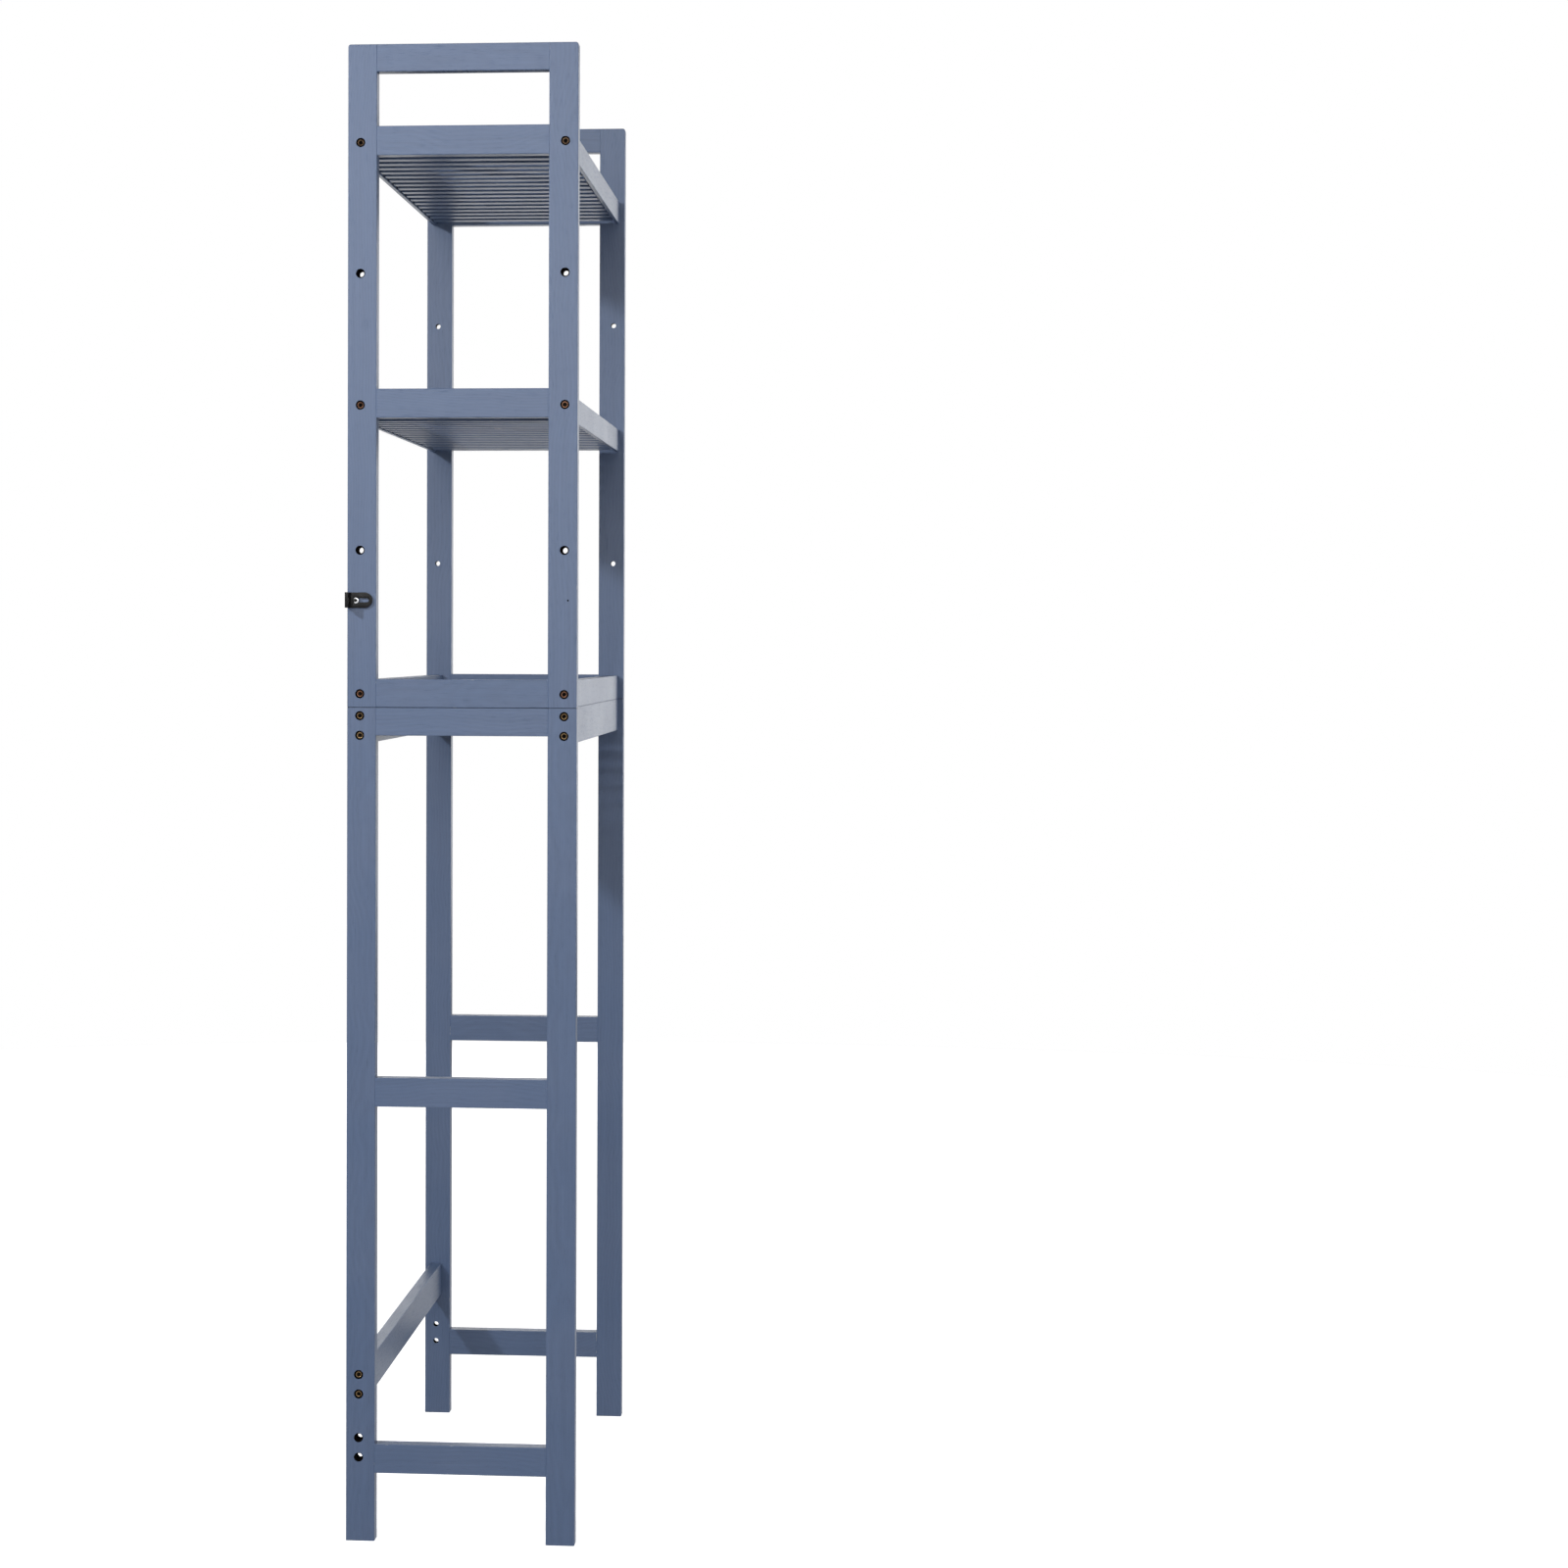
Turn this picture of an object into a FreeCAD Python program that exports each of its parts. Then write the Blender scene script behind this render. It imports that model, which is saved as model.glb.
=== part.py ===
import FreeCAD, Part
import math
import os
import re

import Sketcher

# Over-the-toilet storage rack in painted wood, millimetres.
# Two pairs of glued side frames, an upper one standing on a lower one, are tied together by bolted rails.
# X runs along the width, the front is at -Y, the wall side is at +Y, and Z is up from the floor.
# The origin is the middle of the footprint, on the floor.

SIZES = (
    ("rack_width", 650.0, "outside of one side frame to the outside of the other"),
    ("rack_depth", 254.0, "front of the front posts to the back of the back posts"),
    ("lower_height", 922.0, "height of the lower frames, floor to joint"),
    ("upper_height", 728.0, "height of the upper frames, joint to top"),
    ("frame_thick", 18.0, "thickness of posts and end rails along X"),
    ("post_depth", 32.0, "width of a post along Y"),
    ("edge_round", 0.8, "rounding of the long edges of every stick"),
    ("top_corner_round", 3.0, "rounding of the frames' top outer corners"),
    ("foot_bevel", 0.6, "bevel round the foot of a leg"),
    ("joint_bevel", 0.4, "bevel round the ends of the posts where upper and lower frames meet"),
    ("end_rail_height", 30.0, "end rails at the top of the frames"),
    ("joint_rail_height", 31.0, "end rails above and below the joint of the frames"),
    ("cross_bar_height", 32.0, "all other end rails"),
    ("top_shelf_drop", 121.5, "top of the frames to the underside of the top shelf and of its end rail"),
    ("middle_shelf_rise", 318.5, "joint to the underside of the middle shelf's end rail"),
    ("middle_shelf_hang", 2.3, "underside of the middle shelf below the underside of its end rail"),
    ("mid_bar_level", 481.4, "underside of the lower frames' middle end rail"),
    ("foot_bar_level", 75.7, "underside of the lower frames' bottom end rail"),
    ("rail_thick", 14.0, "thickness of front and back rails along Y"),
    ("rail_inset", 7.0, "front and back rails set back from the faces of the posts"),
    ("shelf_rail_height", 28.0, "front and back rails of the top and middle shelves"),
    ("base_rail_height", 30.0, "front and back rails of the bottom shelf"),
    ("apron_height", 40.0, "front and back rails at the top of the lower frames"),
    ("stretcher_height", 40.0, "back stretcher between the lower legs"),
    ("stretcher_level", 153.7, "underside of the back stretcher"),
    ("lip_width", 4.5, "lip left outside the rebate of a shelf rail"),
    ("slat_count", 17, "slats in a shelf"),
    ("slat_width", 17.5, "width of a slat along X"),
    ("slat_thick", 7.0, "thickness of a slat"),
    ("slat_end_gap", 24.65, "side frame to the first slat"),
    ("slat_recess", 1.0, "underside of the slats above the underside of the rails"),
    ("slat_clearance", 2.0, "end of a slat to the lip of the rebate"),
    ("slat_round", 1.0, "rounding of the long edges of a slat"),
    ("pair_spacing", 21.6, "between the two bolts of an apron or stretcher joint"),
    ("raised_shelf_rise", 144.5, "from the middle shelf's bolts to the holes above them"),
    ("lowered_shelf_drop", 159.5, "from the middle shelf's bolts to the holes below them"),
    ("low_stretcher_drop", 70.0, "from the stretcher's bolts to the holes below them"),
    ("bolt_size", 6.0, "diameter of the bolts"),
    ("bolt_reach", 17.0, "length of bolt inside the rail"),
    ("bolt_clearance", 0.5, "bolt hole over bolt"),
    ("head_size", 9.4, "diameter of a bolt's head"),
    ("head_thick", 4.2, "thickness of a bolt's head"),
    ("head_sink", 1.0, "top of a bolt's head below the face of the post"),
    ("head_clearance", 0.8, "counterbore over bolt head"),
    ("socket_size", 4.0, "hex socket across its flats"),
    ("socket_deep", 2.6, "depth of the hex socket"),
    ("insert_size", 9.0, "diameter of a threaded insert"),
    ("insert_long", 13.0, "length of a threaded insert"),
    ("seat_clearance", 0.1, "hole over insert, dowel or pin, and thread over bolt"),
    ("tip_clearance", 3.0, "hole beyond the tip of a bolt"),
    ("dowel_size", 6.0, "diameter of the glued dowels"),
    ("dowel_in_rail", 13.0, "length of dowel inside an end rail"),
    ("dowel_clearance", 0.9, "tip of a dowel to the counterbore beside it"),
    ("dowel_spacing", 14.0, "between the two dowels of a joint"),
    ("pin_size", 8.0, "diameter of the pins between upper and lower frames"),
    ("pin_half", 20.0, "length of pin in each end rail it joins"),
    ("pin_inset", 36.0, "pin in from the end of the end rail"),
    ("anchor_rise", 118.0, "joint to the middle of the wall anchors"),
    ("anchor_long", 28.0, "length of an anchor's side plate along Y"),
    ("anchor_height", 17.0, "height of an anchor"),
    ("anchor_thick", 3.0, "thickness of an anchor's side plate"),
    ("anchor_reach", 18.0, "how far an anchor's wall leg stands out of the side frame"),
    ("leg_thick", 3.5, "thickness of an anchor's wall leg"),
    ("wall_hole", 5.0, "screw hole in the wall leg"),
    ("slot_clearance", 1.1, "slot in the side plate over its screw"),
    ("slot_inset", 6.0, "centre of the slot's front end in from the front of the plate"),
    ("screw_inset", 10.0, "anchor screw in from the back face, and pilot hole in from the front"),
    ("screw_size", 3.5, "diameter of an anchor screw"),
    ("screw_reach", 13.0, "length of an anchor screw inside the post"),
    ("screw_head", 7.6, "diameter of an anchor screw's head"),
    ("screw_head_thick", 2.2, "thickness of an anchor screw's head"),
    ("recess_wide", 1.1, "width of each slot of the cross recess"),
    ("recess_long", 4.2, "length of each slot of the cross recess"),
    ("recess_deep", 1.4, "depth of the cross recess"),
    ("pilot_size", 2.0, "diameter of the spare pilot holes"),
    ("pilot_deep", 10.0, "depth of the spare pilot holes"),
)

SIZE_WORD = re.compile(r"\b(" + "|".join(name for name, _, _ in SIZES) + r")\b")

# Lines that several pieces share, written in the sheet's own names.
BOLT_LINE = "(rail_inset + rail_thick/2)"
COUNTERBORE = "(head_thick + head_sink)"
RAIL_LENGTH = "(rack_width - 2*frame_thick)"
END_RAIL_LENGTH = "(rack_depth - 2*post_depth)"
RACK_HEIGHT = "(lower_height + upper_height)"
TOP_SHELF = f"({RACK_HEIGHT} - top_shelf_drop)"
MIDDLE_BAR = "(lower_height + middle_shelf_rise)"
MIDDLE_SHELF = f"({MIDDLE_BAR} - middle_shelf_hang)"
TOP_BOLTS = f"({TOP_SHELF} + shelf_rail_height/2)"
MIDDLE_BOLTS = f"({MIDDLE_BAR} + shelf_rail_height/2)"
BASE_BOLTS = "(lower_height + base_rail_height/2)"
APRON_BOLTS = "(lower_height - apron_height/2)"
STRETCHER_BOLTS = "(stretcher_level + stretcher_height/2)"
SLAT_PITCH = f"(({RAIL_LENGTH} - 2*slat_end_gap - slat_width)/(slat_count - 1))"
DOWEL_IN_POST = f"(post_depth - {BOLT_LINE} - (head_size + head_clearance)/2 - dowel_clearance)"
PIN_LINE = f"({END_RAIL_LENGTH}/2 - pin_inset)"
ANCHOR_LEVEL = "(lower_height + anchor_rise)"
SLOT_WIDTH = "(screw_size + slot_clearance)"
SLOT_RUN = "(anchor_long - screw_inset - slot_inset)"

UPPER_RAILS = (
    ("top_end_rail", f"{RACK_HEIGHT} - end_rail_height", "end_rail_height"),
    ("top_shelf_end_rail", TOP_SHELF, "cross_bar_height"),
    ("middle_shelf_end_rail", MIDDLE_BAR, "cross_bar_height"),
    ("base_end_rail", "lower_height", "joint_rail_height"),
)
LOWER_RAILS = (
    ("top_end_rail", "lower_height - joint_rail_height", "joint_rail_height"),
    ("middle_end_rail", "mid_bar_level", "cross_bar_height"),
    ("bottom_end_rail", "foot_bar_level", "cross_bar_height"),
)
JOINED_RAILS = (("upper", "base_end_rail"), ("lower", "top_end_rail"))

SAME_PLACE = 1e-4  # closest that two coordinates of different features come
LEAST_CUT = 1.0  # the smallest volume that a cut takes away

doc = FreeCAD.newDocument("storage_rack")
sheet = doc.addObject("Spreadsheet::Sheet", "Sizes")
for row, (name, value, note) in enumerate(SIZES, 1):
    sheet.set(f"A{row}", name)
    sheet.set(f"B{row}", str(value))
    sheet.set(f"C{row}", note)
    sheet.setAlias(f"B{row}", name)
doc.recompute()

sub_parts = []
cuts = []


def bound(text):
    """The same formula with every size name pointing into the sheet."""
    return SIZE_WORD.sub(r"Sizes.\1", text)


def number(text):
    """A formula's value now."""
    return float(sheet.evalExpression(bound(text)))


def bind(thing, field, text):
    """Ties one property to a formula of the sheet's sizes."""
    thing.setExpression(field, bound(text))


def place(thing, x, y, z, turn=0, about=FreeCAD.Vector(0, 0, 1)):
    """Puts an object's origin at a point given by three formulas, turned about one axis."""
    thing.Placement = FreeCAD.Placement(FreeCAD.Vector(), FreeCAD.Rotation(about, turn))
    for axis, text in zip("xyz", (x, y, z)):
        bind(thing, f".Placement.Base.{axis}", text)


def finished(thing, label):
    """Names a sub-part and puts it on the list of files to write."""
    thing.Label = label
    sub_parts.append(thing)
    return thing


# ---- sketches and features inside a body ----


def sketch_on(body, role, offset="0"):
    """A sketch on one of the body's own planes, moved along the plane's positive axis."""
    sketch = body.newObject("Sketcher::SketchObject", "Sketch")
    plane = next(item for item in body.Origin.OriginFeatures if item.Role == role)
    sketch.AttachmentSupport = [(plane, "")]
    sketch.MapMode = "FlatFace"
    sign = "-1" if role == "XZ_Plane" else "1"
    bind(sketch, ".AttachmentOffset.Base.z", f"{sign}*({offset})")
    return sketch


def dimension(sketch, kind, ends, text):
    """One driving dimension between sketch points, tied to a formula."""
    index = sketch.addConstraint(Sketcher.Constraint(kind, *ends, number(text)))
    bind(sketch, f"Constraints[{index}]", text)


def draw_rectangle(sketch, low_x, low_y, wide, tall):
    """A rectangle from its low corner, its width and its height."""
    x0, y0, w, h = (number(text) for text in (low_x, low_y, wide, tall))
    corners = [(x0, y0), (x0 + w, y0), (x0 + w, y0 + h), (x0, y0 + h)]
    points = [FreeCAD.Vector(x, y, 0) for x, y in corners]
    lines = [sketch.addGeometry(Part.LineSegment(points[i], points[(i + 1) % 4])) for i in range(4)]
    for i in range(4):
        sketch.addConstraint(Sketcher.Constraint("Coincident", lines[i], 2, lines[(i + 1) % 4], 1))
    for i, kind in enumerate(("Horizontal", "Vertical", "Horizontal", "Vertical")):
        sketch.addConstraint(Sketcher.Constraint(kind, lines[i]))
    dimension(sketch, "DistanceX", (lines[0], 1, lines[0], 2), wide)
    dimension(sketch, "DistanceY", (lines[1], 1, lines[1], 2), tall)
    dimension(sketch, "DistanceX", (-1, 1, lines[0], 1), low_x)
    dimension(sketch, "DistanceY", (-1, 1, lines[0], 1), low_y)


def draw_circles(sketch, centres, diameter):
    """Circles of one diameter, each centred on a pair of formulas."""
    radius = number(diameter) / 2
    for x, y in centres:
        circle = Part.Circle(FreeCAD.Vector(number(x), number(y), 0), FreeCAD.Vector(0, 0, 1), radius)
        index = sketch.addGeometry(circle)
        dimension(sketch, "DistanceX", (-1, 1, index, 3), x)
        dimension(sketch, "DistanceY", (-1, 1, index, 3), y)
        dimension(sketch, "Diameter", (index,), diameter)


def pad(body, sketch, length, backwards=False):
    """Material from a sketch."""
    feature = body.newObject("PartDesign::Pad", "Pad")
    feature.Profile = sketch
    feature.Reversed = backwards
    bind(feature, "Length", length)
    doc.recompute()
    return feature


def pocket(body, sketch, depth, role, forwards):
    """A cut from a sketch, along the plane's positive axis or against it."""
    feature = body.newObject("PartDesign::Pocket", "Pocket")
    feature.Profile = sketch
    feature.Reversed = forwards if role != "XZ_Plane" else not forwards
    bind(feature, "Length", depth)
    doc.recompute()
    cuts.append(feature)
    return feature


def drill(body, role, offset, centres, diameter, depth, forwards):
    """Round holes of one diameter and depth from one flat face."""
    sketch = sketch_on(body, role, offset)
    draw_circles(sketch, centres, diameter)
    return pocket(body, sketch, depth, role, forwards)


def edges_along(shape, axis):
    """Names of the straight edges that run along one axis."""
    names = []
    for index, edge in enumerate(shape.Edges, 1):
        run = edge.lastVertex().Point - edge.firstVertex().Point
        straight = isinstance(edge.Curve, (Part.Line, Part.LineSegment))
        if straight and abs(abs(getattr(run, axis)) - run.Length) < SAME_PLACE:
            names.append(f"Edge{index}")
    return names


def edges_at(shape, **where):
    """Names of the edges whose middle lies at the given coordinates."""
    names = []
    for index, edge in enumerate(shape.Edges, 1):
        middle = edge.CenterOfMass
        if all(abs(getattr(middle, axis) - value) < SAME_PLACE for axis, value in where.items()):
            names.append(f"Edge{index}")
    return names


def dress(body, kind, names, field, text):
    """A fillet or chamfer on named edges of the body's last feature."""
    feature = body.newObject(f"PartDesign::{kind}", kind)
    feature.Base = (feature.BaseFeature, names)
    bind(feature, field, text)
    doc.recompute()
    return feature


def stick(name, size, long_axis, radius="edge_round"):
    """A square-cut length of wood with its long edges rounded, low corner at the body's origin."""
    body = doc.addObject("PartDesign::Body", name)
    sketch = sketch_on(body, "XY_Plane")
    draw_rectangle(sketch, "0", "0", size[0], size[1])
    pad(body, sketch, size[2])
    dress(body, "Fillet", edges_along(body.Shape, long_axis), "Radius", radius)
    return body


# ---- side frames ----


def bolt_heights(upper, back):
    """Heights above the foot of a post of its bolt holes, counterbored on the outside."""
    if upper:
        levels = [
            TOP_BOLTS,
            f"{MIDDLE_BOLTS} + raised_shelf_rise",
            MIDDLE_BOLTS,
            f"{MIDDLE_BOLTS} - lowered_shelf_drop",
            BASE_BOLTS,
        ]
        return [f"{level} - lower_height" for level in levels]
    rows = [APRON_BOLTS]
    if back:
        rows += [STRETCHER_BOLTS, f"{STRETCHER_BOLTS} - low_stretcher_drop"]
    return [f"{row} {sign} pair_spacing/2" for row in rows for sign in "+-"]


def make_post(left, back, upper):
    """One post. A right-hand post is the diagonally opposite left-hand one, turned round."""
    tier = "upper" if upper else "lower"
    hand = "left" if left else "right"
    end = "back" if back else "front"
    outer_is_high_y = back == left
    length = "upper_height" if upper else "lower_height"
    outer_y = number("post_depth") if outer_is_high_y else 0.0
    label = f"{tier}_{hand}_{end}_post"

    body = doc.addObject("PartDesign::Body", label)
    sketch = sketch_on(body, "XY_Plane")
    draw_rectangle(sketch, "0", "0", "frame_thick", "post_depth")
    pad(body, sketch, length)
    if upper:
        top = number(length)
        dress(body, "Fillet", edges_at(body.Shape, y=outer_y, z=top), "Radius", "top_corner_round")
        rims = edges_at(body.Shape, x=0.0) + edges_at(body.Shape, x=number("frame_thick"))
        foot = edges_at(body.Shape, z=0.0)
        dress(body, "Fillet", [rim for rim in rims if rim not in foot], "Radius", "edge_round")
        dress(body, "Chamfer", edges_at(body.Shape, z=0.0), "Size", "joint_bevel")
    else:
        dress(body, "Fillet", edges_along(body.Shape, "z"), "Radius", "edge_round")
        dress(body, "Chamfer", edges_at(body.Shape, z=0.0), "Size", "foot_bevel")
        dress(body, "Chamfer", edges_at(body.Shape, z=number(length)), "Size", "joint_bevel")

    def inward(distance):
        return f"(post_depth - {distance})" if outer_is_high_y else distance

    centres = [(inward(BOLT_LINE), height) for height in bolt_heights(upper, back)]
    drill(body, "YZ_Plane", "0", centres, "head_size + head_clearance", COUNTERBORE, True)
    drill(body, "YZ_Plane", COUNTERBORE, centres, "bolt_size + bolt_clearance",
          f"frame_thick - {COUNTERBORE}", True)

    base = "lower_height" if upper else "0"
    rails = UPPER_RAILS if upper else LOWER_RAILS
    dowels = [("frame_thick/2", f"({level} + {tall}/2 {sign} dowel_spacing/2) - {base}")
              for _, level, tall in rails for sign in "+-"]
    drill(body, "XZ_Plane", "0" if outer_is_high_y else "post_depth", dowels,
          "dowel_size + seat_clearance", DOWEL_IN_POST, outer_is_high_y)

    if upper:
        spot = [(inward("screw_inset"), "anchor_rise")]
        hole = ("screw_size + seat_clearance", "screw_reach") if back else ("pilot_size", "pilot_deep")
        drill(body, "YZ_Plane", "0", spot, *hole, True)

    y_low = "rack_depth/2 - post_depth" if outer_is_high_y else "-rack_depth/2"
    if left:
        place(body, "-rack_width/2", y_low, base)
    else:
        place(body, "rack_width/2", f"-({y_low})", base, 180)
    return finished(body, label)


def make_end_rail(left, tier, name, level, tall):
    """One end rail between the two posts of a side frame, with dowel holes in both ends."""
    label = f"{tier}_{'left' if left else 'right'}_{name}"
    body = stick(label, ("frame_thick", END_RAIL_LENGTH, tall), "y")
    holes = [("frame_thick/2", f"{tall}/2 {sign} dowel_spacing/2") for sign in "+-"]
    size = "dowel_size + seat_clearance"
    drill(body, "XZ_Plane", "0", holes, size, "dowel_in_rail", True)
    drill(body, "XZ_Plane", END_RAIL_LENGTH, holes, size, "dowel_in_rail", False)
    if (tier, name) in JOINED_RAILS:
        pins = [("frame_thick/2", f"{END_RAIL_LENGTH}/2 {sign} {PIN_LINE}") for sign in "+-"]
        upper = tier == "upper"
        drill(body, "XY_Plane", "0" if upper else tall, pins, "pin_size + seat_clearance", "pin_half", upper)
    side = "-rack_width/2" if left else "rack_width/2 - frame_thick"
    place(body, side, "-rack_depth/2 + post_depth", level)
    return finished(body, label)


# ---- hardware: one seed, mirrored to its other places ----


def cylinder(size, long, x, y, z, axis="z"):
    """A cylinder that starts at a point and runs along one axis."""
    thing = doc.addObject("Part::Cylinder", "Cylinder")
    bind(thing, "Radius", f"({size})/2")
    bind(thing, "Height", long)
    turn, about = {"x": (90, (0, 1, 0)), "y": (-90, (1, 0, 0)), "z": (0, (0, 0, 1))}[axis]
    place(thing, x, y, z, turn, FreeCAD.Vector(*about))
    return thing


def box(x, y, z, dx, dy, dz):
    """A box from its low corner and its three sides."""
    thing = doc.addObject("Part::Box", "Box")
    for field, text in (("Length", dx), ("Width", dy), ("Height", dz)):
        bind(thing, field, text)
    place(thing, x, y, z)
    return thing


def gathered(things):
    """Several separate solids as one object."""
    group = doc.addObject("Part::Compound", "Group")
    group.Links = things
    return group


def mirrored(thing, normal):
    """The same object on the other side of the rack's middle."""
    mirror = doc.addObject("Part::Mirroring", "Mirror")
    mirror.Source = thing
    mirror.Normal = FreeCAD.Vector(*normal)
    return mirror


def front_and_back(things):
    """Solids at the back together with their mirror images at the front."""
    group = gathered(things)
    return [group, mirrored(group, (0, 1, 0))]


def left_and_right(things):
    """Solids on the left together with their mirror images on the right."""
    group = gathered(things)
    return gathered([group, mirrored(group, (1, 0, 0))])


def fused(things):
    """Several overlapping solids as one solid."""
    fuse = doc.addObject("Part::MultiFuse", "Fuse")
    fuse.Shapes = things
    return fuse


def cut_away(base, tool):
    """One solid less another."""
    cut = doc.addObject("Part::Cut", "Cut")
    cut.Base = base
    cut.Tool = tool
    return cut


def make_bolt(height):
    """A hex socket bolt at the back left, its head sunk in the post and its tip in the rail."""
    y = f"rack_depth/2 - {BOLT_LINE}"
    head_x = "-rack_width/2 + head_sink"
    seat_x = f"-rack_width/2 + {COUNTERBORE}"
    head = cylinder("head_size", "head_thick", head_x, y, height, "x")
    shank = cylinder("bolt_size", f"frame_thick - {COUNTERBORE} + bolt_reach", seat_x, y, height, "x")
    socket = doc.addObject("Part::Prism", "Socket")
    socket.Polygon = 6
    bind(socket, "Circumradius", "socket_size/sqrt(3)")
    bind(socket, "Height", "socket_deep")
    place(socket, head_x, y, height, 90, FreeCAD.Vector(0, 1, 0))
    return cut_away(fused([head, shank]), socket)


def make_insert(height):
    """A threaded insert at the back left, flush with the end of its rail."""
    y = f"rack_depth/2 - {BOLT_LINE}"
    start = "-rack_width/2 + frame_thick"
    outer = cylinder("insert_size", "insert_long", start, y, height, "x")
    bore = cylinder("bolt_size + seat_clearance", "insert_long", start, y, height, "x")
    return cut_away(outer, bore)


def make_fixings(name, heights, front_too):
    """All bolts and all inserts of one shelf, apron pair or stretcher."""
    for make, suffix in ((make_bolt, "bolts"), (make_insert, "inserts")):
        seeds = [make(height) for height in heights]
        ends = front_and_back(seeds) if front_too else seeds
        finished(left_and_right(ends), f"{name}_{suffix}")


def pair(middle):
    """The heights of two bolts, one above and one below a middle height."""
    return [f"{middle} {sign} pair_spacing/2" for sign in "+-"]


def make_dowels(left, tier, rails):
    """The glued dowels of one side frame."""
    x = "-(rack_width/2 - frame_thick/2)" if left else "rack_width/2 - frame_thick/2"
    y = "rack_depth/2 - post_depth - dowel_in_rail"
    length = f"dowel_in_rail + {DOWEL_IN_POST}"
    seeds = [cylinder("dowel_size", length, x, y, f"{level} + {tall}/2 {sign} dowel_spacing/2", "y")
             for _, level, tall in rails for sign in "+-"]
    finished(gathered(front_and_back(seeds)), f"{tier}_{'left' if left else 'right'}_frame_dowels")


def make_joining_pins():
    """The four pins that hold the upper frames on the lower ones."""
    seed = cylinder("pin_size", "2*pin_half", "-rack_width/2 + frame_thick/2",
                    PIN_LINE, "lower_height - pin_half")
    finished(left_and_right(front_and_back([seed])), "frame_joining_pins")


# ---- shelves and cross rails ----


def end_bores(body, heights, length):
    """Seats for the inserts and clearance for the bolt tips in both ends of a rail along X."""
    centres = [("rail_thick/2", height) for height in heights]
    bores = (("insert_size + seat_clearance", "insert_long"),
             ("bolt_size + bolt_clearance", "bolt_reach + tip_clearance"))
    for size, depth in bores:
        drill(body, "YZ_Plane", "0", centres, size, depth, True)
        drill(body, "YZ_Plane", length, centres, size, depth, False)


def make_cross_rail(label, tall, level, back, bolt_rows, shelf=False):
    """One rail between the side frames. A shelf rail has a rebate for the slats along its inner foot."""
    body = stick(label, (RAIL_LENGTH, "rail_thick", tall), "x")
    if shelf:
        sketch = sketch_on(body, "YZ_Plane")
        inner = "0" if back else "lip_width"
        draw_rectangle(sketch, inner, "0", "rail_thick - lip_width", "slat_recess + slat_thick")
        pocket(body, sketch, RAIL_LENGTH, "YZ_Plane", True)
    end_bores(body, bolt_rows, RAIL_LENGTH)
    y = "rack_depth/2 - rail_inset - rail_thick" if back else "-rack_depth/2 + rail_inset"
    place(body, "-rack_width/2 + frame_thick", y, level)
    return finished(body, label)


def make_slats(label, level):
    """The slats of one shelf, side by side, let into the rebates of its rails from below."""
    half = "(rack_depth/2 - rail_inset - lip_width - slat_clearance)"
    body = stick(label, ("slat_width", f"2*{half}", "slat_thick"), "y", "slat_round")
    body.AllowCompound = True
    row = body.newObject("PartDesign::LinearPattern", "SlatRow")
    row.TransformMode = "Whole shape"
    row.Direction = (next(item for item in body.Origin.OriginFeatures if item.Role == "X_Axis"), [""])
    row.Mode = "Spacing"
    bind(row, "Offset", SLAT_PITCH)
    bind(row, "Occurrences", "slat_count")
    body.Tip = row
    doc.recompute()
    place(body, f"-{RAIL_LENGTH}/2 + slat_end_gap", f"-{half}", f"{level} + slat_recess")
    return finished(body, label)


def make_shelf(name, level, rail_height, bolts):
    """Front rail, back rail and slats of one shelf."""
    for back, end in ((False, "front"), (True, "back")):
        make_cross_rail(f"{name}_{end}_rail", rail_height, level, back, [f"{bolts} - {level}"], shelf=True)
    make_slats(f"{name}_slats", level)


# ---- wall anchors ----


def half_round(sketch, x, y, radius, bulge):
    """Half of a circle, bulging along the sketch's +X (1) or -X (-1)."""
    start = -bulge * math.pi / 2
    circle = Part.Circle(FreeCAD.Vector(x, y, 0), FreeCAD.Vector(0, 0, 1), radius)
    return sketch.addGeometry(Part.ArcOfCircle(circle, start, start + math.pi))


def chained(sketch, curves, kinds):
    """Joins each curve's end to the start of the next, smoothly or at a corner."""
    for i, kind in enumerate(kinds):
        sketch.addConstraint(Sketcher.Constraint(kind, curves[i], 2, curves[(i + 1) % len(curves)], 1))


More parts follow.
